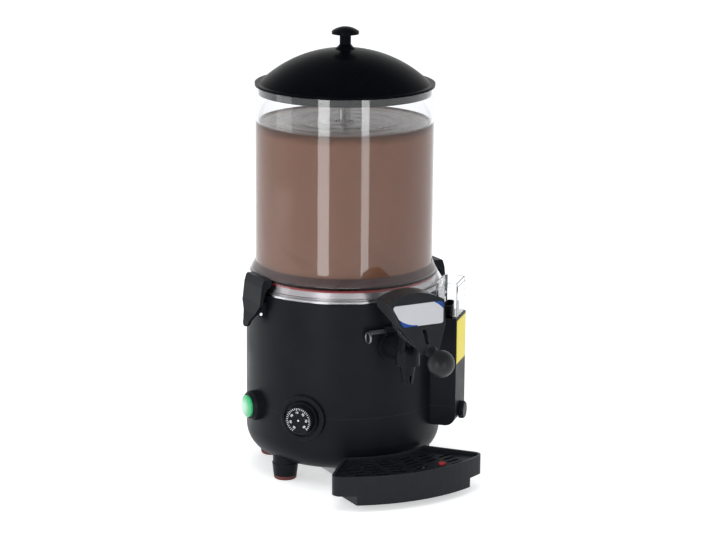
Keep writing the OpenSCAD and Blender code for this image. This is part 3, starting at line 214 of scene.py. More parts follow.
scene.world = bpy.data.worlds.new("studio")
tree = node_tree(scene.world)
gaze = add(tree, "ShaderNodeTexCoord").outputs["Generated"]
ceiling = map_range(tree, axes_of(tree, gaze)["Z"], 1.0, 0.30, 0.30, 0.75)
to_camera = (math.sin(CAMERA_ROUND), -math.cos(CAMERA_ROUND), 0)
dark_room = map_range(tree, vector_maths(tree, "DOT_PRODUCT", gaze, to_camera), 1.0, 0.16, 0.45, 0.92)
dimmed = maths(tree, "MULTIPLY", ceiling, dark_room)
camera_ray = add(tree, "ShaderNodeLightPath").outputs["Is Camera Ray"]
strength = maths(tree, "MAXIMUM", dimmed, camera_ray)
white = add(tree, "ShaderNodeBackground", {"Color": (1, 1, 1, 1), "Strength": strength})
plain = add(tree, "ShaderNodeBackground", {"Color": (0.94, 0.97, 1, 1), "Strength": 0.72})
choose = add(tree, "ShaderNodeMixShader", {0: seen_directly(tree), 1: plain.outputs[0], 2: white.outputs[0]})
add(tree, "ShaderNodeOutputWorld", {"Surface": choose.outputs[0]})
print("world:", len(tree.nodes), "nodes")

# %% [markdown]
# Two soft boxes stand either side of the camera and leave the two upright bright bands on the clear bowl: a
# lamp that is 25 degrees round from the camera is mirrored 12.5 degrees round the bowl. They stand low,
# because a camera that looks down sees low things mirrored in an upright wall. A box on the left and one above
# give the sheen on the body and the soft shadow, and no mirror shows them.

# %% Lamps
AIM_HEIGHT = 0.3
OVERHEAD = 0.5


def soft_box(name, round_degrees, away, height, size, brightness, mirrored=True):
    """A rectangular lamp that faces the machine; brightness is what a mirror of it would show."""
    data = bpy.data.lights.new(name, "AREA")
    data.shape = "RECTANGLE"
    data.size, data.size_y = size
    data.energy = brightness * math.pi * size[0] * size[1]
    lamp = put(name, data)
    lamp.location = outward(math.radians(round_degrees)) * away + Vector((0, 0, height))
    aim = Vector((0, 0, AIM_HEIGHT)) - lamp.location
    if away > OVERHEAD:
        aim.z = 0
    lamp.rotation_euler = aim.to_track_quat("-Z", "Y").to_euler()
    lamp.visible_camera = False
    lamp.visible_glossy = mirrored


soft_box("band_left", -53.6, 1.2, 0.31, (0.30, 0.6), 5.0)
soft_box("band_right", -2.6, 1.2, 0.31, (0.20, 0.6), 4.4)
soft_box("side_box", -112, 1.9, 0.7, (0.9, 1.3), 2.2, mirrored=False)
soft_box("top_box", -40, 0.45, 2.3, (1.7, 1.7), 1.7, mirrored=False)

# %% [markdown]
# The floor is a plain pale sheet. Its diffuse part takes the machine's soft shadow, and a little
# brightness that only the camera, mirrors and glass see lifts it to the photograph's white.

# %% Floor
FLOOR_HALF = 6
FLOOR_LIFT = 0.5
floor_mesh = bpy.data.meshes.new("floor")
corners = [(x * FLOOR_HALF, y * FLOOR_HALF, 0) for x, y in ((-1, -1), (1, -1), (1, 1), (-1, 1))]
floor_mesh.from_pydata(corners, [], [(0, 1, 2, 3)])
floor = put("floor", floor_mesh)
paper = bpy.data.materials.new("white_floor")
tree = node_tree(paper)
diffuse = add(tree, "ShaderNodeBsdfDiffuse", {"Color": (0.82, 0.82, 0.82, 1)})
amount = maths(tree, "MULTIPLY", seen_directly(tree), FLOOR_LIFT)
lift = add(tree, "ShaderNodeEmission", {"Color": (1, 1, 1, 1), "Strength": amount})
both = add(tree, "ShaderNodeAddShader", {0: diffuse.outputs[0], 1: lift.outputs[0]})
add(tree, "ShaderNodeOutputMaterial", {"Surface": both.outputs[0]})
floor_mesh.materials.append(paper)
print("floor", 2 * FLOOR_HALF, "m wide")

# %% [markdown]
# Effects that several finishes share are node groups, built once and placed in each material with their own
# values. A group gives only masks, values and normals, and the shader stays in the material. The first two
# are the fine grain of moulded plastic, and the faint marks that hands and cloths leave on any surface.

# %% Grain and handling marks


def new_group(name, inputs, outputs):
    """A shader group whose inputs are numbers; its outputs are numbers too, or a normal."""
    group = bpy.data.node_groups.new(name, "ShaderNodeTree")
    for socket, value in inputs.items():
        group.interface.new_socket(socket, in_out="INPUT", socket_type="NodeSocketFloat").default_value = value
    for socket in outputs:
        kind = "NodeSocketVector" if socket == "Normal" else "NodeSocketFloat"
        group.interface.new_socket(socket, in_out="OUTPUT", socket_type=kind)
    return group, add(group, "NodeGroupInput").outputs


grain, given = new_group("moulded_grain", {"Scale": 900.0, "Height": 0.1}, ("Normal", "Mask"))
fine = noise(grain, on_object(grain), given["Scale"], 2.0, 0.55)
bump = add(grain, "ShaderNodeBump", {"Strength": given["Height"], "Distance": 0.0002, "Height": fine})
add(grain, "NodeGroupOutput", {"Normal": bump.outputs["Normal"], "Mask": fine})

smears, given = new_group("handling_marks", {"Clean": 0.3, "Worn": 0.42, "Scale": 22.0}, ("Roughness", "Mask"))
broad = noise(smears, on_object(smears), given["Scale"], 5.0, 0.6)
mask = map_range(smears, broad, 0.0, 1.0, 0.35, 0.7)
rough = map_range(smears, mask, given["Clean"], given["Worn"])
add(smears, "NodeGroupOutput", {"Roughness": rough, "Mask": mask})
print("node groups:", [g.name for g in bpy.data.node_groups])

# %% [markdown]
# Brushed sheet has fine lines that run round the machine: the noise is stretched along them and squeezed
# across. The last group finds edges, where a rounded normal leaves the true one, and upper sides, where dust
# settles in broken patches.

# %% Brushed lines, worn edges and dust
sizes = {"Across": 1400.0, "Along": 12.0, "Height": 0.15}
brushed, given = new_group("brushed_lines", sizes, ("Normal", "Mask"))
stretch = joined(brushed, given["Along"], given["Along"], given["Across"])
scaled = vector_maths(brushed, "MULTIPLY", on_object(brushed), stretch)
lines = noise(brushed, scaled, 1.0, 3.0)
bump = add(brushed, "ShaderNodeBump", {"Strength": given["Height"], "Distance": 0.0001, "Height": lines})
add(brushed, "NodeGroupOutput", {"Normal": bump.outputs["Normal"], "Mask": lines})

worn_edges, given = new_group("edges_and_dust", {"Edges": 0.5, "Dust": 0.2}, ("Mask",))
rounded = add(worn_edges, "ShaderNodeBevel", {"Radius": 1.2 * MM})
rounded.samples = 4
surface = add(worn_edges, "ShaderNodeNewGeometry").outputs["Normal"]
along = vector_maths(worn_edges, "DOT_PRODUCT", rounded.outputs["Normal"], surface)
edge_mask = map_range(worn_edges, along, given["Edges"], 0.0, 0.80, 0.97)
upper_side = map_range(worn_edges, axes_of(worn_edges, surface)["Z"], 0.0, given["Dust"], 0.55, 1.0)
specks = noise(worn_edges, on_object(worn_edges), 160, 4)
dust = maths(worn_edges, "MULTIPLY", upper_side, map_range(worn_edges, specks, 0.2, 1.0, 0.4, 0.65))
add(worn_edges, "NodeGroupOutput", {"Mask": maths(worn_edges, "MAXIMUM", edge_mask, dust)})
print("node groups:", [g.name for g in bpy.data.node_groups])

# %% [markdown]
# A moulded plastic is a Principled shader whose colour wanders a little between two tones, whose roughness
# comes from the handling marks, and whose normal comes from the grain. The black housing is satin, and its
# edges and dusty upper sides are a little paler.

# %% Finishes for plastics and rubber


def place_group(tree, group, **values):
    node = tree.nodes.new("ShaderNodeGroup")
    node.node_tree = group
    wire(tree, node, values)
    return node.outputs


def new_finish(name):
    material = bpy.data.materials.new(name)
    tree = node_tree(material)
    shader = add(tree, "ShaderNodeBsdfPrincipled")
    add(tree, "ShaderNodeOutputMaterial", {"Surface": shader.outputs[0]})
    return material, tree, shader


def moulded(name, dark, light, clean, worn, grain_scale, grain_height, shine=0.5, rubbed=0.0):
    """Clean and worn are its two roughnesses; rubbed is how much paler its edges and dusty tops are."""
    material, tree, shader = new_finish(name)
    marks = place_group(tree, smears, Clean=clean, Worn=worn)
    skin = place_group(tree, grain, Scale=grain_scale, Height=grain_height)
    tone = mixed(tree, marks["Mask"], dark, light)
    if rubbed:
        wear = place_group(tree, worn_edges, Edges=0.55 * rubbed, Dust=0.25 * rubbed)
        tone = mixed(tree, wear["Mask"], tone, tuple(3 * channel + 0.02 for channel in light))
    wire(tree, shader, {"Base Color": tone, "Roughness": marks["Roughness"], "Normal": skin["Normal"]})
    wire(tree, shader, {"Specular IOR Level": shine})
    return material


BLACK = (0.0042, 0.0052, 0.0076), (0.0070, 0.0082, 0.0112)
LID_BLACK = (0.0018, 0.0022, 0.0034), (0.0028, 0.0034, 0.0052)
finishes = {
    "black_plastic": moulded("satin_black", *BLACK, 0.34, 0.46, 1100, 0.12, 0.105, 0.9),
    "lid_plastic": moulded("lid_black", *LID_BLACK, 0.24, 0.34, 700, 0.05, 0.03, 0.3),
    "red_rubber": moulded("red_seal", (0.36, 0.015, 0.020), (0.48, 0.030, 0.035), 0.45, 0.6, 500, 0.1),
    "foot_rubber": moulded("foot_rubber", (0.10, 0.022, 0.020), (0.16, 0.04, 0.035), 0.6, 0.75, 500, 0.2),
    "ceramic": moulded("cream_moulding", (0.66, 0.62, 0.53), (0.74, 0.71, 0.63), 0.4, 0.55, 600, 0.1),
    "white_plastic": moulded("white_moulding", (0.74, 0.75, 0.72), (0.80, 0.81, 0.78), 0.3, 0.42, 600, 0.06),
    "white_label": moulded("white_plate", (0.80, 0.81, 0.83), (0.84, 0.85, 0.87), 0.22, 0.3, 600, 0.02),
    "yellow_label": moulded("yellow_film", (0.96, 0.78, 0.05), (0.98, 0.83, 0.075), 0.35, 0.5, 400, 0.05, 0.3),
    "hose_rubber": moulded("pale_hose", (0.58, 0.60, 0.58), (0.66, 0.68, 0.66), 0.4, 0.55, 500, 0.08),
    "motor_metal": moulded("motor_paint", (0.05, 0.055, 0.06), (0.075, 0.08, 0.085), 0.35, 0.5, 500, 0.15),
}
print(len(finishes), "moulded finishes")

# %% [markdown]
# Stainless sheet is brushed along its length, which streaks its reflections; pins and shafts are polished.
# The same function makes both, with more or less brushing and roughness.

# %% Finishes for metals


def metal(name, dark, light, clean, worn, across=1400.0, along=12.0, height=0.15):
    material, tree, shader = new_finish(name)
    marks = place_group(tree, smears, Clean=clean, Worn=worn, Scale=30.0)
    lines = place_group(tree, brushed, Across=across, Along=along, Height=height)
    tone = mixed(tree, lines["Mask"], dark, light)
    wire(tree, shader, {"Base Color": tone, "Roughness": marks["Roughness"], "Normal": lines["Normal"]})
    wire(tree, shader, {"Metallic": 1.0})
    return material


finishes |= {
    "steel": metal("brushed_sheet", (0.52, 0.53, 0.54), (0.66, 0.67, 0.68), 0.22, 0.34),
    "bright_steel": metal("polished_steel", (0.72, 0.73, 0.74), (0.80, 0.81, 0.82), 0.06, 0.14, height=0.03),
    "zinc_steel": metal("zinc_sheet", (0.42, 0.43, 0.44), (0.52, 0.53, 0.54), 0.3, 0.45, 300, 200, 0.1),
    "bronze": metal("bronze_bush", (0.46, 0.29, 0.12), (0.58, 0.38, 0.17), 0.3, 0.42, 300, 200, 0.1),
    "element": metal("element_sheath", (0.15, 0.15, 0.16), (0.22, 0.22, 0.23), 0.35, 0.5, 300, 200, 0.1),
}
print(len(finishes), "finishes with the metals")

# %% [markdown]
# The bowl and the filler's cup are clear polycarbonate. Glass in a path tracer is a Transmission of one and
# an index of refraction; roughness varies by a trace, as on a bowl that is wiped every day. The green lens of
# the switch is painted pale towards its outer face, a painted reflection, and glows faintly because the machine
# is on.

# %% Finishes for clear plastic


def clear(name, colour, clean, worn, index=1.49):
    material, tree, shader = new_finish(name)
    marks = place_group(tree, smears, Clean=clean, Worn=worn, Scale=14.0)
    wire(tree, shader, {"Base Color": (*colour, 1), "Roughness": marks["Roughness"]})
    wire(tree, shader, {"Transmission Weight": 1.0, "IOR": index})
    return material


finishes["clear_plastic"] = clear("clear_bowl", (0.975, 0.985, 0.99), 0.0, 0.03)
LENS_FACE = low("switch_button").x
finishes["green_lens"], tree, shader = new_finish("green_lens")
marks = place_group(tree, smears, Clean=0.06, Worn=0.16)
green = mixed(tree, marks["Mask"], (0.012, 0.30, 0.10), (0.04, 0.46, 0.18))
depth = axes_of(tree, on_object(tree))["X"]
# Painted reflection: the lens is mixed towards a pale green at its outer face, where it would mirror the room.
painted_reflection = map_range(tree, depth, 0.75, 0.0, LENS_FACE + 0.4 * MM, LENS_FACE + 3.4 * MM)
tone = mixed(tree, painted_reflection, green, (0.62, 0.80, 0.68))
wire(tree, shader, {"Base Color": tone, "Roughness": marks["Roughness"]})
wire(tree, shader, {"Emission Color": (0.05, 0.6, 0.22, 1), "Emission Strength": 0.12, "Coat Weight": 1.0})
print(len(finishes), "finishes with the clear ones")

# %% [markdown]
# The plate on the lever is printed white, with a blue corner at the upper right and a longer one at the lower
# left. Each edge between white and blue is part of an ellipse, so a small group asks whether a point of the
# plate lies outside an ellipse. The pattern reads Object coordinates, which move with the plate.

# %% Finish of the lever's plate
ELLIPSE = ("Middle X", "Middle Z", "Half width", "Half height")
sizes = dict(zip(ELLIPSE, (0.0, 0.25, 0.03, 0.02)))
outside, given = new_group("outside_ellipse", {**sizes, "Way": 1.0}, ("Mask",))
spot = axes_of(outside, on_object(outside))
across = maths(outside, "DIVIDE", maths(outside, "SUBTRACT", spot["X"], given["Middle X"]), given["Half width"])
up = maths(outside, "DIVIDE", maths(outside, "SUBTRACT", spot["Z"], given["Middle Z"]), given["Half height"])
squares = maths(outside, "ADD", maths(outside, "POWER", across, 2.0), maths(outside, "POWER", up, 2.0))
beyond = maths(outside, "GREATER_THAN", maths(outside, "SQRT", squares), 1.0)
same_side = maths(outside, "GREATER_THAN", maths(outside, "MULTIPLY", across, given["Way"]), 0.0)
same_height = maths(outside, "GREATER_THAN", maths(outside, "MULTIPLY", up, given["Way"]), 0.0)
corner = maths(outside, "MULTIPLY", beyond, maths(outside, "MULTIPLY", same_side, same_height))
add(outside, "NodeGroupOutput", {"Mask": corner})

plate, tree, shader = new_finish("printed_plate")


def blue_corner(way, *sizes):
    """Where the plate is blue: outside an ellipse with these sizes in millimetres, on one side of it."""
    return place_group(tree, outside, Way=way, **{name: v * MM for name, v in zip(ELLIPSE, sizes)})["Mask"]


marks = place_group(tree, smears, Clean=0.16, Worn=0.26)
ground = mixed(tree, marks["Mask"], (0.50, 0.505, 0.53), (0.53, 0.535, 0.56))
either = maths(tree, "MAXIMUM", blue_corner(1.0, 10, 240, 27.3, 23.6), blue_corner(-1.0, -8, 258, 29.6, 20.2))
printed = mixed(tree, either, ground, (0.008, 0.055, 0.26))
wire(tree, shader, {"Base Color": printed, "Roughness": marks["Roughness"]})

# %% [markdown]
# Each CAD node names its kind of finish in the record. A few nodes have one of their own, because they are
# duller, paler or clearer in the photograph than others of their kind. The steel pan's own finish is a darker
# copy of steel, painted shade for the shade of the collar it stands in.

# %% Put the finishes on the CAD nodes
BALL_BLACK = (0.0045, 0.0058, 0.0066), (0.0080, 0.0095, 0.0105)
LEVER_BLACK = (0.0085, 0.0105, 0.0125), (0.0140, 0.0165, 0.0190)
DOME_BLACK = (0.0012, 0.0015, 0.0024), (0.0020, 0.0025, 0.0038)
TRAY_BLACK = (0.0095, 0.0110, 0.0140), (0.0150, 0.0170, 0.0205)
own_finish = {
    "tap_pin": metal("dull_pin", (0.16, 0.165, 0.17), (0.27, 0.275, 0.28), 0.28, 0.42, 900.0, 40.0, 0.1),
    "ball_knob": moulded("ball_black", *BALL_BLACK, 0.36, 0.46, 900, 0.03, 0.30),
    "tap_lever": moulded("lever_black", *LEVER_BLACK, 0.30, 0.40, 1000, 0.10, 0.32, 1.0),
    "filler_cup": clear("clear_cup", (0.985, 0.99, 0.995), 0.02, 0.09),
    # Painted shade: the pan's steel is made darker because it stands in the collar's shade.
    "product_pan": metal("pan_steel_painted_shade", (0.33, 0.31, 0.32), (0.45, 0.42, 0.43), 0.26, 0.38),
    "lid": moulded("lid_skin", *DOME_BLACK, 0.24, 0.34, 700, 0.05, 0.02, 0.1),
    "drip_tray": moulded("tray_black", *TRAY_BLACK, 0.34, 0.46, 1100, 0.12, 0.14, 0.9),
    "lever_label": plate,
}
slot_of = {row["node"]: row["material_slot"] for row in frame["record"]["subparts"]}
for name, node in frame["nodes"].items():
    node.data.materials.clear()
    node.data.materials.append(own_finish.get(name, finishes[slot_of[name]]))
print(len(frame["nodes"]), "nodes have their finish,", len(own_finish), "of them their own")

# %% [markdown]
# Repeated things are made with Geometry Nodes. One helper adds a tree to a fresh object, sets its named
# inputs by their socket identifiers, evaluates it once and keeps the result as a plain mesh, already at its
# place. After that nothing procedural is left on the piece, so it rides like any other.

# %% Helper for pieces made by nodes


class Grower:
    """Builds one Geometry Nodes tree; its inputs are whole numbers or plain ones."""

    def __init__(self, name, inputs):
        self.tree = bpy.data.node_groups.new(name, "GeometryNodeTree")
        sockets = self.tree.interface
        sockets.new_socket("Geometry", in_out="INPUT", socket_type="NodeSocketGeometry")
        for socket, value in inputs.items():
            kind = "NodeSocketInt" if isinstance(value, int) else "NodeSocketFloat"
            sockets.new_socket(socket, in_out="INPUT", socket_type=kind).default_value = value
        sockets.new_socket("Geometry", in_out="OUTPUT", socket_type="NodeSocketGeometry")
        self.given = add(self.tree, "NodeGroupInput").outputs

    def node(self, kind, sources=None):
        return add(self.tree, kind, sources)

    def maths(self, operation, first, second=None):
        return maths(self.tree, operation, first, second)

    def ball(self, subdivisions):
        sources = {"Radius": 1.0, "Subdivisions": subdivisions}
        return self.node("GeometryNodeMeshIcoSphere", sources).outputs["Mesh"]

    def random_size(self, smallest, largest):
        sources = {2: smallest, 3: largest, "Seed": self.given["Seed"]}
        return self.node("FunctionNodeRandomValue", sources).outputs[1]

    def close(self, geometry, material, smooth=True):
        if smooth:
            geometry = self.node("GeometryNodeSetShadeSmooth", {"Geometry": geometry}).outputs[0]
        real = self.node("GeometryNodeRealizeInstances", {0: geometry}).outputs[0]
        paint = self.node("GeometryNodeSetMaterial", {"Geometry": real, "Material": material})
        self.node("NodeGroupOutput", {0: paint.outputs[0]})


def grow(name, grower, values, base=None, place=None):
    """Runs a tree on a base mesh and returns the result as a plain object, placed in the machine's frame."""
    carrier = put(name + "_carrier", base or bpy.data.meshes.new(name + "_base"))
    modifier = carrier.modifiers.new("nodes", "NODES")
    modifier.node_group = grower.tree
    for item in grower.tree.interface.items_tree:
        if item.in_out == "INPUT" and item.name in values:
            modifier[item.identifier] = values[item.name]
    view = bpy.context.evaluated_depsgraph_get()
    mesh = bpy.data.meshes.new_from_object(carrier.evaluated_get(view))
    bpy.data.objects.remove(carrier)
    if place is not None:
        mesh.transform(place)
    mesh.name = name
    return put(name, mesh)


# %% [markdown]
# The thermostat's knob carries its scale: fine white ticks on the face, a longer one at each number, numbers
# from 30 to 90 inside them, and a dot in the middle. The print is a hair proud of the face, so it is built as
# thin solids. The tree places one small box for each tick, turned to point at the middle.

# %% Ticks on the dial
print_white = moulded("white_print", (0.80, 0.82, 0.84), (0.88, 0.90, 0.92), 0.45, 0.6, 800, 0.05)
SCALE_START = math.radians(-150)
SCALE_SWEEP = math.radians(280)
TICK_COUNT = 31
TICKS_TO_A_NUMBER = 5
TICK_OUT = 16.6 * MM
TICK_SHORT = 2.3 * MM
TICK_MORE = 0.9 * MM
TICK_WIDE = 0.62 * MM
TICK_HIGH = 0.1 * MM

sizes = {"Count": TICK_COUNT, "Radius": TICK_OUT, "Start": SCALE_START, "Sweep": SCALE_SWEEP}
ticks = Grower("dial_ticks", {**sizes, "Every": TICKS_TO_A_NUMBER})
row = ticks.node("GeometryNodeMeshLine", {"Count": ticks.given["Count"]}).outputs["Mesh"]
index = ticks.node("GeometryNodeInputIndex").outputs[0]
share = ticks.maths("DIVIDE", index, ticks.maths("SUBTRACT", ticks.given["Count"], 1.0))
angle = ticks.maths("ADD", ticks.maths("MULTIPLY", share, ticks.given["Sweep"]), ticks.given["Start"])
long_one = ticks.maths("LESS_THAN", ticks.maths("MODULO", index, ticks.given["Every"]), 0.5)
length = ticks.maths("ADD", ticks.maths("MULTIPLY", long_one, TICK_MORE), TICK_SHORT)
middle = ticks.maths("SUBTRACT", ticks.given["Radius"], ticks.maths("MULTIPLY", length, 0.5))
right = ticks.maths("MULTIPLY", ticks.maths("SINE", angle), middle)
above = ticks.maths("MULTIPLY", ticks.maths("COSINE", angle), middle)
sources = {"Geometry": row, "Position": joined(ticks.tree, right, above, 0.0)}
moved = ticks.node("GeometryNodeSetPosition", sources).outputs[0]
stroke = ticks.node("GeometryNodeMeshCube", {"Size": (TICK_WIDE, 1, TICK_HIGH)}).outputs["Mesh"]
turned = joined(ticks.tree, 0.0, 0.0, ticks.maths("MULTIPLY", angle, -1.0))
stretched = joined(ticks.tree, 1.0, length, 1.0)
sources = {"Points": moved, "Instance": stroke, "Rotation": turned, "Scale": stretched}
ticks.close(ticks.node("GeometryNodeInstanceOnPoints", sources).outputs[0], print_white, smooth=False)

PRINT_LIFT = 0.05 * MM
dial_face = facing(DIAL_ANGLE, reach("dial_knob", DIAL_ANGLE) + PRINT_LIFT, DIAL_Z)
dial_ticks = grow("dial_ticks", ticks, {"Count": TICK_COUNT, "Every": TICKS_TO_A_NUMBER}, place=dial_face)
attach(dial_ticks, "dial")
print("dial ticks:", len(dial_ticks.data.polygons), "faces")

# %% [markdown]
# The numbers are text, which Blender keeps as curves. Each one is turned into a mesh first and then placed on
# the face with its top outwards, and they are joined into one piece with the dot.

# %% Numbers on the dial
NUMBERS = range(30, 100, 10)
NUMBER_SIZE = 3.8 * MM
NUMBER_THICK = 0.04 * MM
NUMBER_BOLD = 0.09 * MM
NUMBER_OUT = 10.6 * MM
DOT = {"segments": 32, "radius1": 1.25 * MM, "radius2": 1.15 * MM, "depth": 0.1 * MM}


def number_mesh(text):
    curve = bpy.data.curves.new("number", "FONT")
    curve.body, curve.size, curve.extrude, curve.offset = text, NUMBER_SIZE, NUMBER_THICK, NUMBER_BOLD
    curve.align_x = curve.align_y = "CENTER"
    holder = put("number", curve)
    mesh = bpy.data.meshes.new_from_object(holder.evaluated_get(bpy.context.evaluated_depsgraph_get()))
    bpy.data.objects.remove(holder)
    return mesh


numbers = bmesh.new()
for k, value in enumerate(NUMBERS):
    a = SCALE_START + SCALE_SWEEP * k / (len(NUMBERS) - 1)
    mesh = number_mesh(str(value))
    out = Matrix.Translation((math.sin(a) * NUMBER_OUT, math.cos(a) * NUMBER_OUT, 0))
    mesh.transform(out @ Matrix.Rotation(-a, 4, "Z"))
    numbers.from_mesh(mesh)
bmesh.ops.create_cone(numbers, cap_ends=True, **DOT)
mesh = bpy.data.meshes.new("dial_numbers")
numbers.to_mesh(mesh)
numbers.free()
mesh.transform(dial_face)
mesh.materials.append(print_white)
dial_numbers = put("dial_numbers", mesh)
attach(dial_numbers, "dial")
print("numbers:", list(NUMBERS))

# %% [markdown]
# The drink fills the bowl almost to the top. It is a body of revolution whose wall follows the inner faces of
# the pan, the seal, the ledge and collar of the bowl, and the bowl's wall, found by casting rays outwards from
# the axis. A liquid wets the clear wall, so there is no air between them: above the seal the drink reaches a
# quarter of a millimetre into the plastic, which leaves out the two mirror faces that a gap would add. Beside
# the seal and the steel pan it stays just inside.

# %% Wall of the drink
WETTED = 0.25 * MM
CLEAR = 0.35 * MM
BOTTOM = 251 * MM
SEAL_LOW = low("bowl_gasket").z
SEAL_TOP = high("bowl_gasket").z
LEDGE_TOP = SEAL_TOP + 3 * MM
COLLAR_TOP = 277 * MM
WALL_LOW = 285 * MM
WALL_STEP = 20 * MM
LEVEL = 457.6 * MM
RAYS = 16
RAY_START = 30 * MM

vessel = []
for name in ("bowl", "bowl_gasket", "product_pan"):
    mesh = frame["nodes"][name].data
    vessel.append(BVHTree.FromPolygons([v.co for v in mesh.vertices], [p.vertices for p in mesh.polygons]))


def wall_radius(height):
    found = []
    for step in range(RAYS):
        way = outward(2 * math.pi * (step + 0.37) / RAYS)
        for part in vessel:
            hit = part.ray_cast(way * RAY_START + Vector((0, 0, height)), way)
            if hit[0]:
                found.append(math.hypot(hit[0].x, hit[0].y))
    return min(found) + (WETTED if height > SEAL_TOP else -CLEAR)


wall = []
steps = (BOTTOM, SEAL_LOW + CLEAR, SEAL_TOP, LEDGE_TOP - WETTED)
for lowest, highest in zip(steps, steps[1:]):
    radius = wall_radius((lowest + highest) / 2)
    wall += [(radius, lowest), (radius, highest)]
wall.append((wall_radius(LEDGE_TOP + 0.2 * MM), LEDGE_TOP - WETTED))
wall += [(wall_radius(z), z) for z in (COLLAR_TOP - drop * MM for drop in (8, 5, 2))]
wall += [(wall_radius(z), z) for z in (WALL_LOW + WALL_STEP * k for k in range(9))]
inside = wall_radius(LEVEL)
print("drink's radius at the top", round(inside * 1000, 2), "mm")

# %% [markdown]
# The top surface climbs a little at the wall, as a liquid does, and has low ripples from the turning blades.
# A ripple is a wave with a number of rings to the metre and of arms to a turn. The ripples fade out towards
# the wall and the column.

# %% Drink
COLUMN_R = 8.4 * MM
CLIMB_WIDE = 3 * MM
CLIMB_HIGH = 1.8 * MM
TOP_RINGS = 26
STEPS = 160
RIPPLE = 0.9 * MM
RIPPLES = ((522.5, -2, 0.35), (210, 3, 0.25), (-340, 7, 0.12))
FADE_AT_WALL = 8 * MM
FADE_AT_COLUMN = 20 * MM
SAME = 1e-6


def merged(name, source, mend_normals=False):
    """A copy of a mesh in which points at one place are one point."""
    made = bmesh.new()
    made.from_mesh(source)
    bmesh.ops.remove_doubles(made, verts=made.verts, dist=SAME)
    if mend_normals:
        bmesh.ops.recalc_face_normals(made, faces=made.faces)
    mesh = bpy.data.meshes.new(name)
    made.to_mesh(mesh)
    made.free()
    return mesh


turns = [math.radians(d) for d in range(90, -1, -15)]
climb = [(inside - CLIMB_WIDE * (1 - math.sin(t)), LEVEL + CLIMB_HIGH * (1 - math.cos(t))) for t in turns]
flat_r = inside - CLIMB_WIDE
top = [(flat_r - (flat_r - COLUMN_R) * k / TOP_RINGS, LEVEL) for k in range(1, TOP_RINGS + 1)]
outline = [(COLUMN_R, BOTTOM)] + wall + climb + top
verts, faces = [], []
count = len(outline)
for step in range(STEPS):
    a = 2 * math.pi * step / STEPS
    for r, z in outline:
        if abs(z - LEVEL) < SAME and r < inside - 2 * MM:
            fade = min(1, (flat_r - r) / FADE_AT_WALL) * min(1, r / FADE_AT_COLUMN)
            z += RIPPLE * fade * sum(size * math.sin(rings * r + arms * a) for rings, arms, size in RIPPLES)
        verts.append((r * math.sin(a), -r * math.cos(a), z))
for step in range(STEPS):
    here, there = step * count, (step + 1) % STEPS * count
    for k in range(count):
        after = (k + 1) % count
        faces.append((here + k, there + k, there + after, here + after))
shell = bpy.data.meshes.new("drink_shell")
shell.from_pydata(verts, [], faces)
drink = put("drink", merged("drink", shell, mend_normals=True))
drink.data.shade_smooth()
print("drink:", len(drink.data.polygons), "faces")

# %% [markdown]
# Hot chocolate is opaque and milky brown. Its colour drifts slowly where the powder is not quite mixed, and
# the edge that climbs the wall is paler because it is thin. Down in the collar the body and the latches keep
# the light off it, so it is mixed towards a dark grey there. The surface is wet, so its roughness is low.

# %% Finish of the drink
cocoa, tree, shader = new_finish("hot_chocolate")
coords = on_object(tree)
height = axes_of(tree, coords)["Z"]
swirl = noise(tree, coords, 9, 5, distortion=1.2)
tone = mixed(tree, swirl, (0.262, 0.112, 0.062), (0.288, 0.128, 0.074))
edge = map_range(tree, height, 0.0, 1.0, LEVEL - 0.5 * MM, LEVEL + 1.2 * MM)
tone = mixed(tree, edge, tone, (0.52, 0.36, 0.30))
shade = map_range(tree, height, 0.88, 0.0, COLLAR_TOP - 2.5 * MM, COLLAR_TOP + 0.5 * MM)
tone = mixed(tree, shade, tone, (0.120, 0.085, 0.090))
wire(tree, shader, {"Base Color": tone, "Roughness": map_range(tree, swirl, 0.22, 0.34)})
wire(tree, shader, {"Specular IOR Level": 0.2})
drink.data.materials.append(cocoa)
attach(drink, "machine")
print("drink finished, collar's top at", round(COLLAR_TOP, 3))

# %% [markdown]
# Small bubbles of froth gather where the drink meets the wall and round the turning column. The tree scatters
# points on a narrow ring with a fixed seed, and puts a low-faced ball of random size on each, half sunk.

# %% Froth
froth_finish, tree, shader = new_finish("froth")
marks = place_group(tree, smears, Clean=0.15, Worn=0.3, Scale=180.0)
tone = mixed(tree, marks["Mask"], (0.36, 0.23, 0.18), (0.55, 0.40, 0.33))
wire(tree, shader, {"Base Color": tone, "Roughness": marks["Roughness"], "Coat Weight": 0.6})

froth = Grower("froth_scatter", {"Density": 20000.0, "Small": 0.3 * MM, "Large": 1.1 * MM, "Seed": 4})
sources = {"Mesh": froth.given["Geometry"], "Density": froth.given["Density"], "Seed": froth.given["Seed"]}
spread = froth.node("GeometryNodeDistributePointsOnFaces", sources).outputs["Points"]
size = froth.random_size(froth.given["Small"], froth.given["Large"])
sources = {"Points": spread, "Instance": froth.ball(2), "Scale": size}
froth.close(froth.node("GeometryNodeInstanceOnPoints", sources).outputs[0], froth_finish)
FROTH_LIFT = 0.25 * MM
FROTH_LARGE = 0.95 * MM
RING_STEPS = 96


def flat_ring(name, inner, outer):
    verts, faces = [], []
    for step in range(RING_STEPS):
        a = 2 * math.pi * step / RING_STEPS
        verts += [(r * math.sin(a), -r * math.cos(a), LEVEL + FROTH_LIFT) for r in (inner, outer)]
        after = (step + 1) % RING_STEPS
        faces.append((2 * step, 2 * after, 2 * after + 1, 2 * step + 1))
    mesh = bpy.data.meshes.new(name)
    mesh.from_pydata(verts, [], faces)
    return mesh


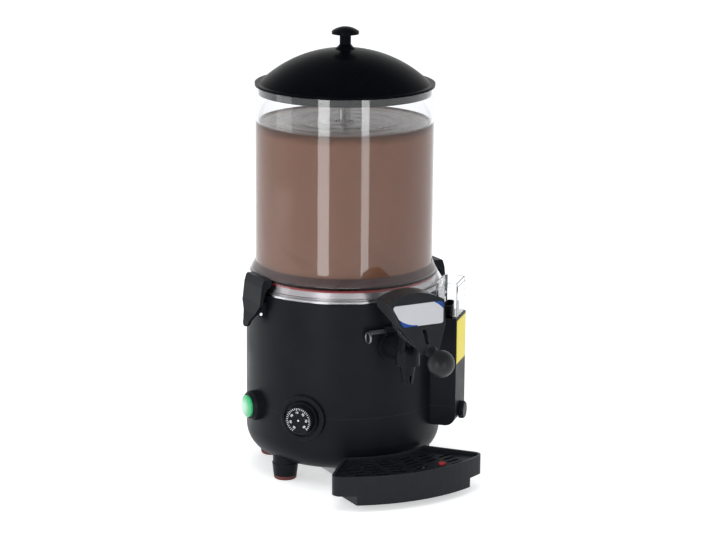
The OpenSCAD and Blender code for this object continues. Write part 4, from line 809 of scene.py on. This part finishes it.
for name, inner, outer, density in (
    ("froth_at_wall", inside - 5.5 * MM, inside - 2.2 * MM, 90000.0),
    ("froth_at_column", COLUMN_R + 1.2 * MM, COLUMN_R + 5 * MM, 70000.0),
):
    ring = flat_ring(name + "_ring", inner, outer)
    piece = grow(name, froth, {"Density": density, "Large": FROTH_LARGE}, base=ring)
    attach(piece, "machine")
    print(name, len(piece.data.polygons), "faces")

# %% [markdown]
# A few drops of water lie on the grille's bars. The tree reads a merged copy of the grille, keeps only faces
# that point straight up at the top, scatters a few points on them and sets a flattened ball on each.

# %% Drops on the grille
DROP_FLATNESS = 0.42
DROP_FACES = 320
water = clear("water_drop", (0.97, 0.98, 0.99), 0.0, 0.02, 1.33)
drops = Grower("drop_scatter", {"Density": 1500.0, "Spacing": 9 * MM, "Top": 0.042, "Seed": 11})
normal = drops.node("GeometryNodeInputNormal").outputs[0]
position = drops.node("GeometryNodeInputPosition").outputs[0]
flat = drops.maths("GREATER_THAN", axes_of(drops.tree, normal)["Z"], 0.99)
bars_top = drops.maths("SUBTRACT", drops.given["Top"], 0.2 * MM)
on_top = drops.maths("GREATER_THAN", axes_of(drops.tree, position)["Z"], bars_top)
spread = drops.node("GeometryNodeDistributePointsOnFaces")
spread.distribute_method = "POISSON"
sources = {
    "Mesh": drops.given["Geometry"],
    "Selection": drops.maths("MULTIPLY", flat, on_top),
    "Distance Min": drops.given["Spacing"],
    "Density Max": drops.given["Density"],
    "Seed": drops.given["Seed"],
}
wire(drops.tree, spread, sources)
size = drops.random_size(0.5 * MM, 1.5 * MM)
squat = joined(drops.tree, size, size, drops.maths("MULTIPLY", size, DROP_FLATNESS))
sources = {"Points": spread.outputs["Points"], "Instance": drops.ball(3), "Scale": squat}
drops.close(drops.node("GeometryNodeInstanceOnPoints", sources).outputs[0], water)

grille_copy = merged("grille_copy", frame["nodes"]["drip_grille"].data)
grille_top = max(v.co.z for v in grille_copy.vertices)
tray_drops = grow("tray_drops", drops, {"Top": grille_top, "Density": 2200.0}, base=grille_copy)
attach(tray_drops, "grille")
print("drops:", len(tray_drops.data.polygons) // DROP_FACES)
